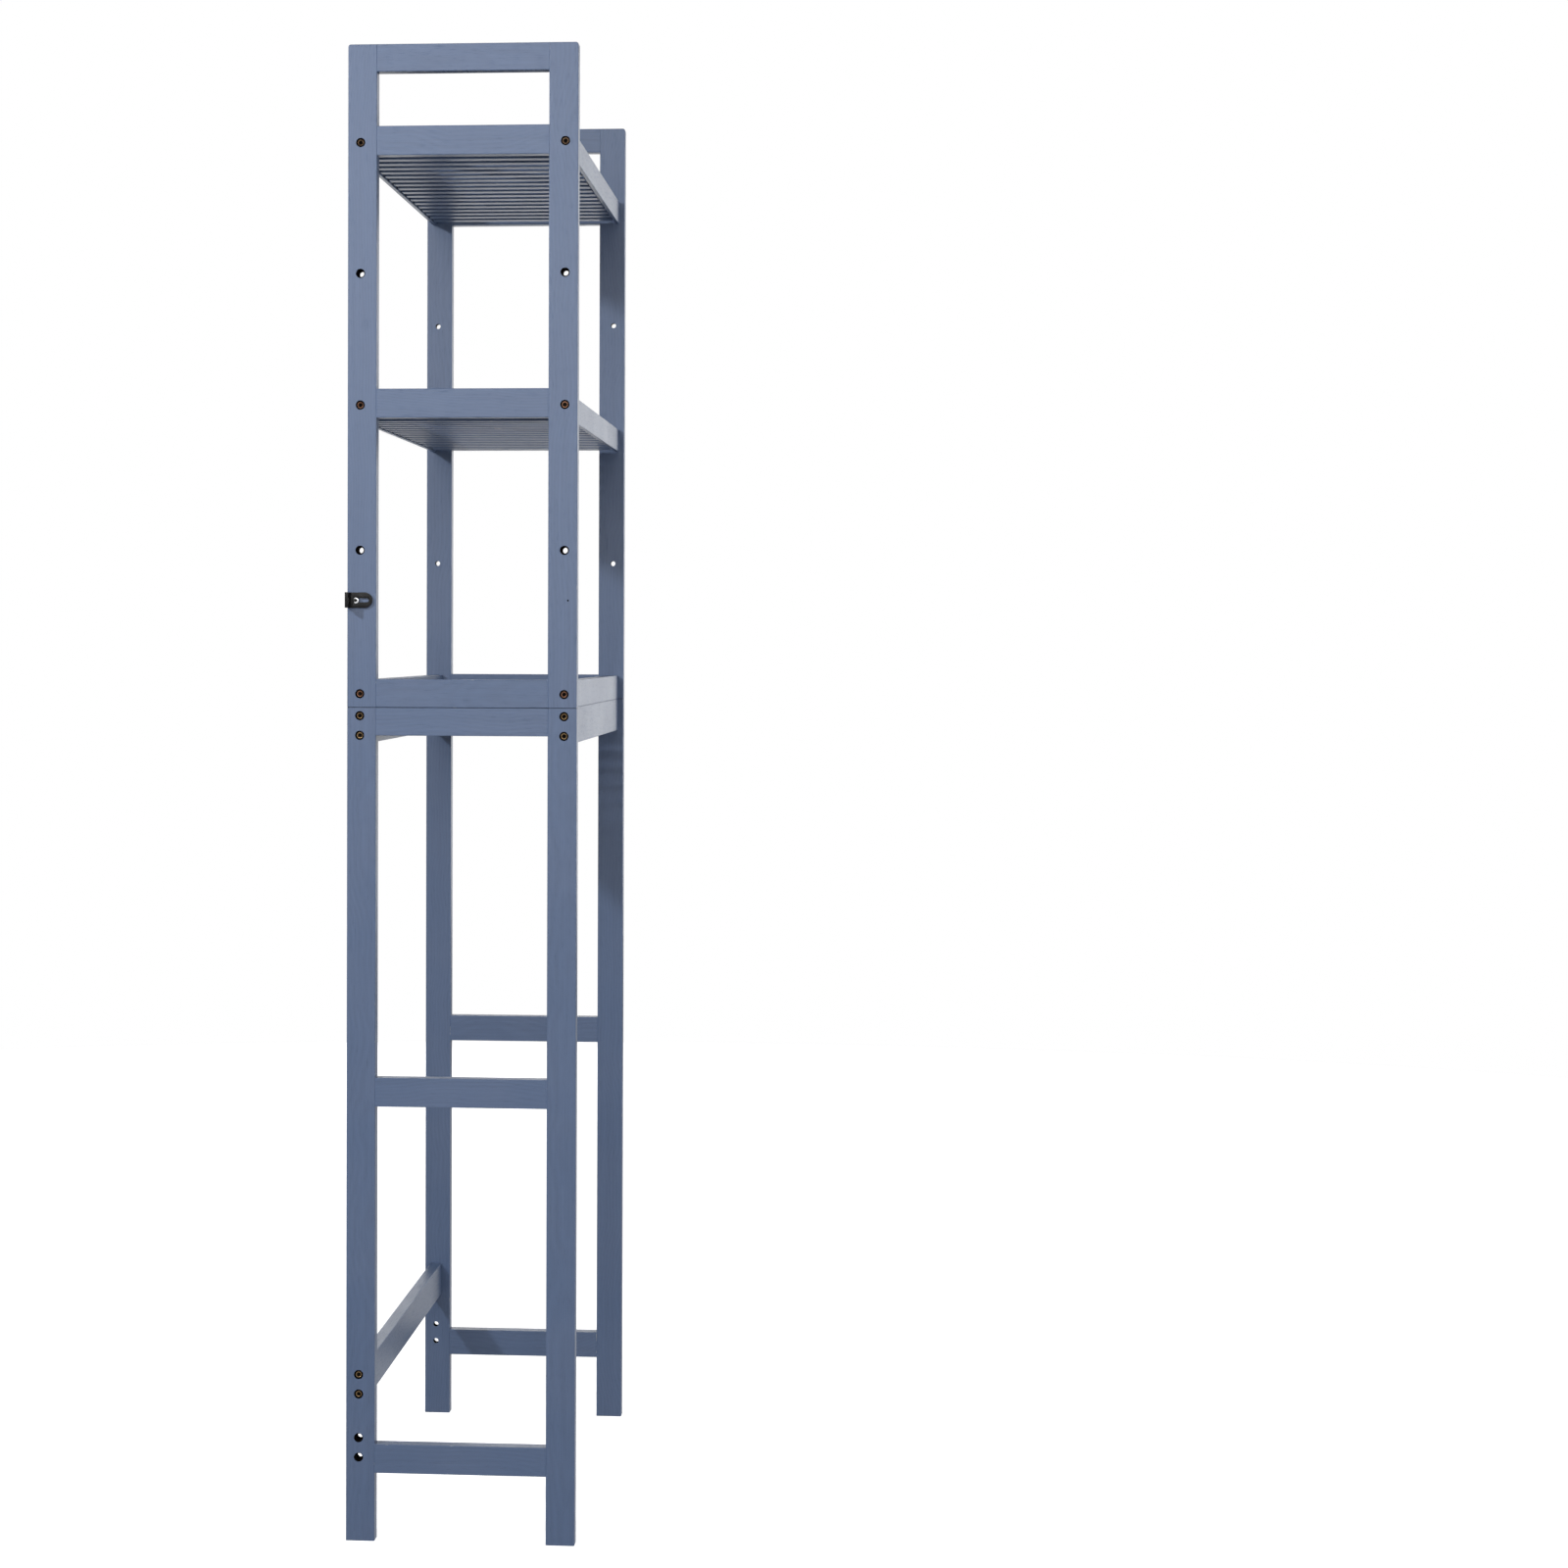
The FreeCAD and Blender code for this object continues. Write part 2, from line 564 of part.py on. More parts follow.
def draw_anchor_plate(sketch):
    """The side plate's outline, half round at the front, with the screw's slot inside it."""
    tall, long = number("anchor_height"), number("anchor_long")
    nose = half_round(sketch, tall / 2, tall / 2, tall / 2, -1)
    corners = [(tall / 2, 0), (long, 0), (long, tall), (tall / 2, tall)]
    points = [FreeCAD.Vector(x, y, 0) for x, y in corners]
    foot, back, top = (sketch.addGeometry(Part.LineSegment(points[i], points[i + 1])) for i in range(3))
    chained(sketch, [nose, foot, back, top], ("Tangent", "Coincident", "Coincident", "Tangent"))
    for line, kind in ((foot, "Horizontal"), (back, "Vertical"), (top, "Horizontal")):
        sketch.addConstraint(Sketcher.Constraint(kind, line))
    dimension(sketch, "DistanceY", (back, 1, back, 2), "anchor_height")
    dimension(sketch, "DistanceX", (-1, 1, back, 1), "anchor_long")
    dimension(sketch, "DistanceX", (-1, 1, nose, 3), "anchor_height/2")
    dimension(sketch, "DistanceY", (-1, 1, nose, 3), "anchor_height/2")

    near, far, half = number("slot_inset"), number(f"slot_inset + {SLOT_RUN}"), number(SLOT_WIDTH) / 2
    turns = ((far, half), (near, half), (near, -half), (far, -half))
    sides = [FreeCAD.Vector(x, tall / 2 + rise, 0) for x, rise in turns]
    back_end = half_round(sketch, far, tall / 2, half, 1)
    upper_side = sketch.addGeometry(Part.LineSegment(sides[0], sides[1]))
    front_end = half_round(sketch, near, tall / 2, half, -1)
    lower_side = sketch.addGeometry(Part.LineSegment(sides[2], sides[3]))
    chained(sketch, [back_end, upper_side, front_end, lower_side], ["Tangent"] * 4)
    sketch.addConstraint(Sketcher.Constraint("Horizontal", upper_side))
    dimension(sketch, "DistanceX", (-1, 1, front_end, 3), "slot_inset")
    dimension(sketch, "DistanceX", (front_end, 3, back_end, 3), SLOT_RUN)
    dimension(sketch, "DistanceY", (-1, 1, back_end, 3), "anchor_height/2")
    dimension(sketch, "Radius", (back_end,), f"{SLOT_WIDTH}/2")


def make_anchors():
    """An angle anchor on each side frame: a slotted side plate and a leg that lies on the wall."""
    label = "left_wall_anchor"
    body = doc.addObject("PartDesign::Body", label)
    plate = sketch_on(body, "YZ_Plane")
    draw_anchor_plate(plate)
    pad(body, plate, "anchor_thick")
    leg = sketch_on(body, "YZ_Plane", "anchor_thick")
    draw_rectangle(leg, "anchor_long - leg_thick", "0", "leg_thick", "anchor_height")
    pad(body, leg, "anchor_reach", backwards=True)
    hole = [("-(anchor_reach - anchor_thick)/2", "anchor_height/2")]
    drill(body, "XZ_Plane", "anchor_long", hole, "wall_hole", "leg_thick", False)
    foot = f"{ANCHOR_LEVEL} - anchor_height/2"
    place(body, "-rack_width/2 - anchor_thick", "rack_depth/2 - anchor_long", foot)
    finished(body, label)
    finished(mirrored(body, (1, 0, 0)), "right_wall_anchor")


def make_anchor_screws():
    """A pan-head screw through each anchor's slot into the back post."""
    y = "rack_depth/2 - screw_inset"
    head_x = "-rack_width/2 - anchor_thick - screw_head_thick"
    head = cylinder("screw_head", "screw_head_thick", head_x, y, ANCHOR_LEVEL, "x")
    shank = cylinder("screw_size", "screw_head_thick/2 + anchor_thick + screw_reach",
                     f"{head_x} + screw_head_thick/2", y, ANCHOR_LEVEL, "x")
    flat = box(head_x, f"{y} - recess_long/2", f"{ANCHOR_LEVEL} - recess_wide/2",
               "recess_deep", "recess_long", "recess_wide")
    upright = box(head_x, f"{y} - recess_wide/2", f"{ANCHOR_LEVEL} - recess_long/2",
                  "recess_deep", "recess_wide", "recess_long")
    screw = finished(cut_away(fused([head, shank]), fused([flat, upright])), "left_anchor_screw")
    finished(mirrored(screw, (1, 0, 0)), "right_anchor_screw")


# ---- the whole rack ----

for is_left in (True, False):
    for is_upper in (True, False):
        for is_back in (True, False):
            make_post(is_left, is_back, is_upper)
        frame_tier = "upper" if is_upper else "lower"
        frame_rails = UPPER_RAILS if is_upper else LOWER_RAILS
        for rail_name, rail_level, rail_tall in frame_rails:
            make_end_rail(is_left, frame_tier, rail_name, rail_level, rail_tall)
        make_dowels(is_left, frame_tier, frame_rails)
make_joining_pins()

make_shelf("top_shelf", TOP_SHELF, "shelf_rail_height", TOP_BOLTS)
make_shelf("middle_shelf", MIDDLE_SHELF, "shelf_rail_height", MIDDLE_BOLTS)
make_shelf("bottom_shelf", "lower_height", "base_rail_height", BASE_BOLTS)
make_cross_rail("front_apron", "apron_height", "lower_height - apron_height", False, pair("apron_height/2"))
make_cross_rail("back_apron", "apron_height", "lower_height - apron_height", True, pair("apron_height/2"))
make_cross_rail("back_stretcher", "stretcher_height", "stretcher_level", True, pair("stretcher_height/2"))

make_fixings("top_shelf", [TOP_BOLTS], True)
make_fixings("middle_shelf", [MIDDLE_BOLTS], True)
make_fixings("bottom_shelf", [BASE_BOLTS], True)
make_fixings("apron", pair(APRON_BOLTS), True)
make_fixings("stretcher", pair(STRETCHER_BOLTS), False)

make_anchors()
make_anchor_screws()
doc.recompute()

# ---- checks, then one file per sub-part ----

for thing in doc.Objects:
    if {"Invalid", "Error"} & set(thing.State):
        raise RuntimeError(f"{thing.Name} ({thing.Label}) failed: {thing.State}")
for cut in cuts:
    removed = cut.BaseFeature.Shape.Volume - cut.Shape.Volume
    if removed < LEAST_CUT:
        raise RuntimeError(f"{cut.Name} removes nothing ({removed:.3f} mm3)")
for thing in sub_parts:
    if thing.Shape.isNull() or not thing.Shape.isValid() or thing.Shape.Volume <= 0:
        raise RuntimeError(f"{thing.Label} has no valid shape")

os.makedirs("parts", exist_ok=True)
for thing in sub_parts:
    thing.Shape.exportStep(f"parts/{thing.Label}.step")
    print(thing.Label, len(thing.Shape.Solids), round(thing.Shape.Volume))
print(len(sub_parts), "sub-parts")
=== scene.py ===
import logging
import math
import random
from dataclasses import dataclass
from enum import Enum
from typing import Iterable, Optional, Sequence, Union

import bmesh
import bpy
from mathutils import Matrix, Vector


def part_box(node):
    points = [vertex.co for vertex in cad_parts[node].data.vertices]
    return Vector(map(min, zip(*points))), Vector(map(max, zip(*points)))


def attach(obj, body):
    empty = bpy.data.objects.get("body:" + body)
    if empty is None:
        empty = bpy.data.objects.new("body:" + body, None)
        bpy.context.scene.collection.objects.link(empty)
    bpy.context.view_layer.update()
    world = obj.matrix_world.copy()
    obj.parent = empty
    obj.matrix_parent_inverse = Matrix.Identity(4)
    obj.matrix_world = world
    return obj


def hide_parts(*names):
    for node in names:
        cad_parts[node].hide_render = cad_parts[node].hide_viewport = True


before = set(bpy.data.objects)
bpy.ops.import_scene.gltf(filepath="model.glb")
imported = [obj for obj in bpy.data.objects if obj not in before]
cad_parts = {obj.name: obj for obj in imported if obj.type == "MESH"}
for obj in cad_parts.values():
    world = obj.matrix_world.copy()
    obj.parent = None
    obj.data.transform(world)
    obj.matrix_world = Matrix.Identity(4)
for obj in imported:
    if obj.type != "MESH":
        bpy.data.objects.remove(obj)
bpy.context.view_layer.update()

# Looks of an over-the-toilet storage rack in blue-grey painted wood. Metres; X along the width, the front
# at -Y, the wall side at +Y, Z up from the floor. Places and sizes come from the frame's nodes.

log = logging.getLogger("storage_rack")

BODY = "root"
MM = 0.001
SHARP_ANGLE = math.radians(38)

Socket = bpy.types.NodeSocket
Feed = Union[Socket, float, Sequence[float]]
Colour = tuple[float, float, float]


class Grain(Enum):
    """The axis that the grain of a stick runs along."""

    X = 0
    Y = 1
    Z = 2


class Hand(Enum):
    """The side of the rack, seen from the front. The value is the sign of its X."""

    LEFT = -1
    RIGHT = 1


class Tier(Enum):
    """Upper or lower side frame."""

    UPPER = "upper"
    LOWER = "lower"


# ---- node materials ----


@dataclass(frozen=True)
class NodeSheet:
    """A material's node tree, with short ways to add to it."""

    material: bpy.types.Material

    @classmethod
    def fresh(cls, name: str) -> "NodeSheet":
        """An empty node material.

        Args:
            name: The material's name.

        Returns:
            The sheet that its nodes are added through.
        """
        material = bpy.data.materials.new(name)
        material.use_nodes = True
        material.node_tree.nodes.clear()
        return cls(material)

    def node(self, kind: str, **fields: object) -> bpy.types.Node:
        """Adds one node.

        Args:
            kind: Blender's name for the node's type.
            **fields: Properties to set on it.

        Returns:
            The new node.
        """
        made = self.material.node_tree.nodes.new(kind)
        for name, value in fields.items():
            setattr(made, name, value)
        return made

    def feed(self, target: Socket, value: Feed) -> None:
        """Links a socket to another one, or sets its plain value.

        Args:
            target: The input socket.
            value: An output socket, a number or several numbers.
        """
        if isinstance(value, bpy.types.NodeSocket):
            self.material.node_tree.links.new(value, target)
        else:
            target.default_value = value

    def math(self, operation: str, *values: Feed) -> Socket:
        """One scalar sum, product, limit and so on.

        Args:
            operation: Blender's name for the operation.
            *values: Its inputs.

        Returns:
            The result's socket.
        """
        made = self.node("ShaderNodeMath", operation=operation)
        for target, value in zip(made.inputs, values):
            self.feed(target, value)
        return made.outputs[0]

    def vector(self, operation: str, *values: Feed) -> Socket:
        """One vector operation.

        Args:
            operation: Blender's name for the operation.
            *values: Its inputs.

        Returns:
            The resulting vector's socket.
        """
        made = self.node("ShaderNodeVectorMath", operation=operation)
        for target, value in zip(made.inputs, values):
            self.feed(target, value)
        return made.outputs["Vector"]

    def scaled(self, vector: Socket, factor: Feed) -> Socket:
        """A vector or colour times one number.

        Args:
            vector: The vector's socket.
            factor: The number or its socket.

        Returns:
            The scaled vector's socket.
        """
        made = self.node("ShaderNodeVectorMath", operation="SCALE")
        self.feed(made.inputs[0], vector)
        self.feed(made.inputs["Scale"], factor)
        return made.outputs["Vector"]

    def place(self) -> Socket:
        """The point being shaded, in metres in the rack's own frame."""
        return self.node("ShaderNodeTexCoord").outputs["Object"]

    def split(self, vector: Socket) -> list[Socket]:
        """The three components of a vector."""
        made = self.node("ShaderNodeSeparateXYZ")
        self.feed(made.inputs[0], vector)
        return list(made.outputs)

    def noise(self, vector: Socket, scale: float, detail: float = 2.0, rough: float = 0.5) -> Socket:
        """Smooth noise around 0.5.

        Args:
            vector: Where to read it.
            scale: Features for each unit of that vector.
            detail: Octaves beyond the first.
            rough: Strength of each octave over the one before.

        Returns:
            The noise value's socket.
        """
        made = self.node("ShaderNodeTexNoise")
        self.feed(made.inputs["Vector"], vector)
        self.feed(made.inputs["Scale"], scale)
        self.feed(made.inputs["Detail"], detail)
        self.feed(made.inputs["Roughness"], rough)
        return made.outputs[0]

    def ramp(self, value: Feed, start: Feed, end: Feed, low: Feed = 0.0, high: Feed = 1.0) -> Socket:
        """A smooth step from one value to another.

        Args:
            value: What drives the step.
            start: Where the step begins.
            end: Where the step ends.
            low: The result before the start.
            high: The result after the end.

        Returns:
            The result's socket.
        """
        made = self.node("ShaderNodeMapRange", interpolation_type="SMOOTHSTEP")
        for target, given in zip(made.inputs, (value, start, end, low, high)):
            self.feed(target, given)
        return made.outputs[0]

    def mix(self, share: Feed, low: Feed, high: Feed) -> Socket:
        """A blend of two colours.

        Args:
            share: How much of the second colour.
            low: The first colour.
            high: The second colour.

        Returns:
            The blended colour's socket.
        """
        made = self.node("ShaderNodeMix", data_type="RGBA")
        self.feed(made.inputs[0], share)
        for target, given in ((made.inputs[6], low), (made.inputs[7], high)):
            self.feed(target, (*given, 1.0) if isinstance(given, tuple) else given)
        return made.outputs[2]

    def bump(self, height: Socket, depth: float) -> Socket:
        """Relief from a height between 0 and 1.

        Args:
            height: The height's socket.
            depth: Metres from height 0 to height 1.

        Returns:
            The normal's socket.
        """
        made = self.node("ShaderNodeBump")
        self.feed(made.inputs["Strength"], 1.0)
        self.feed(made.inputs["Distance"], depth)
        self.feed(made.inputs["Height"], height)
        return made.outputs[0]

    def surface(self, **values: Feed) -> bpy.types.Material:
        """Ends the tree in one shader.

        Args:
            **values: The shader's inputs, with underscores for spaces.

        Returns:
            The finished material.
        """
        shader = self.node("ShaderNodeBsdfPrincipled")
        for name, value in values.items():
            target = shader.inputs[name.replace("_", " ")]
            self.feed(target, (*value, 1.0) if isinstance(value, tuple) else value)
        output = self.node("ShaderNodeOutputMaterial")
        self.feed(output.inputs["Surface"], shader.outputs[0])
        return self.material


@dataclass(frozen=True)
class Stick:
    """Where one length of wood, or a row of equal ones side by side along X, lies."""

    node: str
    grain: Grain
    seed: int
    count: int = 1
    width: float = 0.0
    # Bored sticks get painted shade on the walls of their holes.
    bored: bool = False
    # Seams are levels where a painted shade line runs across the stick.
    seams: tuple[float, ...] = ()

    @property
    def low(self) -> Vector:
        """The lowest corner."""
        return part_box(self.node)[0]

    @property
    def size(self) -> Vector:
        """The length of each side of one stick."""
        low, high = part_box(self.node)
        whole = high - low
        return Vector((self.width or whole.x, whole.y, whole.z))

    @property
    def pitch(self) -> float:
        """From one stick of a row to the next."""
        low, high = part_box(self.node)
        return (high.x - low.x - self.width) / (self.count - 1) if self.count > 1 else 0.0


@dataclass(frozen=True)
class PaintedWood:
    """Satin paint brushed over fine-grained wood, a little thin and chipped along its edges."""

    slot: str = "painted_wood"
    colour: Colour = (0.082, 0.126, 0.228)
    pale: Colour = (0.096, 0.137, 0.236)
    primer: Colour = (0.50, 0.50, 0.48)
    gloss_roughness: float = 0.40
    fibre_width: float = 1.1 * MM
    fibre_length: float = 85 * MM
    streak_width: float = 6.5 * MM
    streak_length: float = 330 * MM
    pore_width: float = 0.55 * MM
    pore_length: float = 14 * MM
    relief: float = 0.11 * MM
    wear_width: float = 1.3 * MM
    wear_lift: float = 0.30
    # Near-black painted shade for the walls of holes, fading in between bore_starts and bore_full below the
    # faces.
    bore_shade: Colour = (0.006, 0.005, 0.005)
    bore_starts: float = 0.25 * MM
    bore_full: float = 0.8 * MM
    # Painted shade along a seam: how dark the tone gets, and how far from the seam's level it reaches.
    seam_shade: float = 0.30
    seam_reach: float = 0.45 * MM
    ring_pitch: float = 2.6 * MM
    ring_wander: float = 0.03
    streak_tone: float = 0.16
    fibre_tone: float = 0.20
    ring_tone: float = 0.05
    pore_tone: float = 0.13
    mottle_gloss: float = 0.12
    worn_gloss: float = 0.20
    shine: float = 0.5

    def material(self, stick: Stick) -> bpy.types.Material:
        """The paint on one stick, its grain laid along the stick.

        Args:
            stick: The stick to be painted.

        Returns:
            Its material.
        """
        sheet = NodeSheet.fresh(f"paint_on_{stick.node}")
        local, shift = self.local_place(sheet, stick)
        gaps = self.face_gaps(sheet, stick, local)
        edge = self.edge_distance(sheet, gaps)

        fibre = self.along(sheet, stick, shift, self.fibre_width, self.fibre_length, 3.0)
        streak = self.along(sheet, stick, shift, self.streak_width, self.streak_length, 2.0)
        pore_noise = self.along(sheet, stick, shift, self.pore_width, self.pore_length, 1.0)
        pore = sheet.ramp(pore_noise, 0.62, 0.72)
        figure = self.growth_rings(sheet, stick, local, shift)
        mottle = sheet.noise(shift, 11.0, 3.0)
        film = sheet.noise(shift, 1500.0, 1.0)

        ragged = sheet.noise(shift, 190.0, 4.0, 0.65)
        worn_to = sheet.math("MULTIPLY", ragged, self.wear_width)
        worn = sheet.ramp(edge, 0.0, worn_to, 1.0, 0.0)
        chip = sheet.math("MULTIPLY", worn, sheet.ramp(sheet.noise(shift, 55.0, 3.0, 0.6), 0.665, 0.70))

        tone = sheet.math("MULTIPLY_ADD", streak, self.streak_tone, 1 - self.streak_tone / 2)
        tone = sheet.math("MULTIPLY_ADD", sheet.math("SUBTRACT", fibre, 0.5), self.fibre_tone, tone)
        tone = sheet.math("MULTIPLY_ADD", sheet.math("SUBTRACT", figure, 0.5), self.ring_tone, tone)
        tone = sheet.math("MULTIPLY_ADD", pore, -self.pore_tone, tone)
        tone = sheet.math("MULTIPLY_ADD", worn, self.wear_lift, tone)
        # Painted shade: the tone darkens within a fraction of a millimetre of each seam, for the shade in the
        # joint between the frames.
        for level in stick.seams:
            away = sheet.math("ABSOLUTE", sheet.math("SUBTRACT", sheet.split(sheet.place())[2], level))
            shade = sheet.ramp(away, self.seam_reach * 0.6, self.seam_reach * 1.4, self.seam_shade, 1.0)
            tone = sheet.math("MULTIPLY", tone, shade)
        paint = sheet.mix(sheet.ramp(mottle, 0.35, 0.70, 0.0, 0.7), self.colour, self.pale)
        colour = sheet.mix(chip, sheet.scaled(paint, tone), self.primer)
        shine: Feed = self.shine
        # Painted shade in the holes: near-black colour and no specular on the bore walls, standing in for the
        # shade inside them.
        if stick.bored:
            inside = self.inside(sheet, gaps)
            colour = sheet.mix(inside, colour, self.bore_shade)
            shine = sheet.math("MULTIPLY_ADD", inside, -self.shine, self.shine)

        least_rough = self.gloss_roughness - self.mottle_gloss / 2
        rough = sheet.math("MULTIPLY_ADD", mottle, self.mottle_gloss, least_rough)
        rough = sheet.math("MULTIPLY_ADD", sheet.math("MAXIMUM", pore, chip), self.worn_gloss, rough)

        height = sheet.math("MULTIPLY_ADD", fibre, 0.60, sheet.math("MULTIPLY", figure, 0.25))
        height = sheet.math("MULTIPLY_ADD", pore, -0.35, height)
        height = sheet.math("MULTIPLY_ADD", film, 0.05, height)
        height = sheet.math("MULTIPLY_ADD", chip, -0.80, height)
        return sheet.surface(Base_Color=colour, Roughness=rough, Specular_IOR_Level=shine,
                             Normal=sheet.bump(height, self.relief))

    def face_gaps(self, sheet: NodeSheet, stick: Stick, local: Sequence[Socket]) -> list[Socket]:
        """How far a point is from the nearer face of its stick, along each axis.

        Args:
            sheet: The material's nodes.
            stick: The stick.
            local: Distances from the stick's low corner.

        Returns:
            The three distances' sockets, in metres.
        """
        gaps = []
        for from_low, side in zip(local, stick.size):
            gaps.append(sheet.math("MINIMUM", from_low, sheet.math("SUBTRACT", side, from_low)))
        return gaps

    def inside(self, sheet: NodeSheet, gaps: Sequence[Socket]) -> Socket:
        """Whether a point lies on the wall of a hole, away from all six faces of its stick.

        Args:
            sheet: The material's nodes.
            gaps: Distances to the nearer face along each axis.

        Returns:
            The share's socket, 1 in a hole and 0 on the outer faces.
        """
        depth = sheet.math("MINIMUM", sheet.math("MINIMUM", gaps[0], gaps[1]), gaps[2])
        return sheet.ramp(depth, self.bore_starts, self.bore_full)

    def local_place(self, sheet: NodeSheet, stick: Stick) -> tuple[list[Socket], Socket]:
        """Coordinates from one stick's own low corner.

        Args:
            sheet: The material's nodes.
            stick: The stick.

        Returns:
            The three distances from the low corner, and a point in noise space that no other stick shares.
        """
        place = sheet.place()
        from_low = sheet.split(sheet.vector("SUBTRACT", place, tuple(stick.low)))
        rng = random.Random(stick.seed)
        offset = tuple(rng.uniform(-40, 40) for _ in range(3))
        shift = sheet.vector("ADD", place, offset)
        if stick.count > 1:
            index = sheet.math("FLOOR", sheet.math("DIVIDE", from_low[0], stick.pitch))
            from_low[0] = sheet.math("MULTIPLY_ADD", index, -stick.pitch, from_low[0])
            stride = tuple(rng.uniform(2, 5) for _ in range(3))
            step = sheet.node("ShaderNodeCombineXYZ")
            for target, length in zip(step.inputs, stride):
                sheet.feed(target, sheet.math("MULTIPLY", index, length))
            shift = sheet.vector("ADD", shift, step.outputs[0])
        return from_low, shift

    def edge_distance(self, sheet: NodeSheet, gaps: Sequence[Socket]) -> Socket:
        """How far a point on the surface is from the nearest edge of its stick.

        Args:
            sheet: The material's nodes.
            gaps: Distances to the nearer face along each axis.

        Returns:
            The distance's socket, in metres: the middle one of the three.
        """
        lesser = sheet.math("MINIMUM", gaps[0], gaps[1])
        greater = sheet.math("MAXIMUM", gaps[0], gaps[1])
        return sheet.math("MAXIMUM", lesser, sheet.math("MINIMUM", greater, gaps[2]))

    def along(self, sheet: NodeSheet, stick: Stick, shift: Socket, width: float, length: float,
              detail: float) -> Socket:
        """Noise drawn out along the grain.

        Args:
            sheet: The material's nodes.
            stick: The stick.
            shift: The stick's own point in noise space.
            width: Size of a feature across the grain.
            length: Size of a feature along the grain.
            detail: Octaves beyond the first.

        Returns:
            The noise value's socket.
        """
        stretch = [1 / width] * 3
        stretch[stick.grain.value] = 1 / length
        return sheet.noise(sheet.vector("MULTIPLY", shift, tuple(stretch)), 1.0, detail, 0.6)

    def growth_rings(self, sheet: NodeSheet, stick: Stick, local: Sequence[Socket], shift: Socket) -> Socket:
        """Growth rings about a pith beside the stick, wandering along its length.

        Args:
            sheet: The material's nodes.
            stick: The stick.
            local: Distances from the stick's low corner.
            shift: The stick's own point in noise space.

        Returns:
            The ring pattern's socket, 0 to 1.
        """
        rng = random.Random(stick.seed + 1000)
        wander = sheet.noise(shift, 5.0, 2.0)
        across = [axis for axis in range(3) if axis != stick.grain.value]
        squares = []
        for axis, reach in zip(across, (rng.uniform(0.02, 0.05), rng.uniform(-0.03, 0.03))):
            away = sheet.math("MULTIPLY_ADD", wander, self.ring_wander, sheet.math("ADD", local[axis], reach))
            squares.append(sheet.math("MULTIPLY", away, away))
        radius = sheet.math("SQRT", sheet.math("ADD", *squares))
        wave = sheet.math("SINE", sheet.math("MULTIPLY", radius, 2 * math.pi / self.ring_pitch))
        return sheet.math("MULTIPLY_ADD", wave, 0.5, 0.5)


@dataclass(frozen=True)
class PlatedMetal:
    """Plated steel: bright where it is handled and dull in patches, with painted shade darkening a recess
    where one is given.
    """

    slot: str
    colour: Colour
    tarnish: Colour
    roughness: float = 0.30
    spotting: float = 0.5
    recess_shade: Colour = (0.012, 0.011, 0.010)

    def material(self, name: str, recess: Optional[Vector] = None, reach: float = 0.0) -> bpy.types.Material:
        """The plating for one kind of fitting.

        Args:
            name: The material's name.
            recess: The middle of a recess that gets near-black painted shade, if there is one.
            reach: The radius of that recess.

        Returns:
            Its material.
        """
        sheet = NodeSheet.fresh(name)
        place = sheet.place()
        piece_tone = sheet.noise(place, 33.0, 0.0)
        blotch = sheet.noise(place, 620.0, 4.0, 0.6)
        tool_marks = sheet.noise(sheet.vector("MULTIPLY", place, (9000.0, 900.0, 900.0)), 1.0, 2.0)
        dull = sheet.math("MULTIPLY", sheet.ramp(blotch, 0.42, 0.66), self.spotting)
        dull = sheet.math("ADD", dull, sheet.ramp(piece_tone, 0.35, 0.75, 0.0, 0.45))
        colour = sheet.mix(sheet.math("MINIMUM", dull, 1.0), self.colour, self.tarnish)
        # Painted shade: the colour goes near-black inside the recess, standing in for the shade there.
        if recess is not None:
            away = sheet.node("ShaderNodeVectorMath", operation="LENGTH")
            sheet.feed(away.inputs[0], sheet.vector("SUBTRACT", place, tuple(recess)))
            colour = sheet.mix(sheet.ramp(away.outputs["Value"], 0.8 * reach, reach), self.recess_shade, colour)
        rough = sheet.math("MULTIPLY_ADD", dull, 0.22, self.roughness)
        height = sheet.math("MULTIPLY_ADD", tool_marks, 0.4, sheet.math("MULTIPLY", blotch, 0.6))
        return sheet.surface(Base_Color=colour, Metallic=1.0, Roughness=rough,
                             Normal=sheet.bump(height, 0.012 * MM))


@dataclass(frozen=True)
class BareWood:
    """Raw beech, with long pale fibres and short dark flecks."""

    slot: str = "bare_wood"
    colour: Colour = (0.60, 0.43, 0.26)
    dark: Colour = (0.40, 0.25, 0.13)

    def material(self, name: str, grain: Grain) -> bpy.types.Material:
        """The wood of the dowels.

        Args:
            name: The material's name.
            grain: The axis the dowels lie along.

        Returns:
            Its material.
        """
        sheet = NodeSheet.fresh(name)
        stretch = [2200.0] * 3
        stretch[grain.value] = 70.0
        fibre = sheet.noise(sheet.vector("MULTIPLY", sheet.place(), tuple(stretch)), 1.0, 3.0, 0.6)
        fleck = sheet.ramp(sheet.noise(sheet.place(), 1300.0, 1.0), 0.64, 0.72)
        share = sheet.math("MAXIMUM", sheet.ramp(fibre, 0.3, 0.75, 0.0, 0.6), fleck)
        height = sheet.math("MULTIPLY_ADD", fleck, -0.4, fibre)
        return sheet.surface(Base_Color=sheet.mix(share, self.colour, self.dark),
                             Roughness=sheet.math("MULTIPLY_ADD", fibre, 0.15, 0.60),
                             Normal=sheet.bump(height, 0.05 * MM))


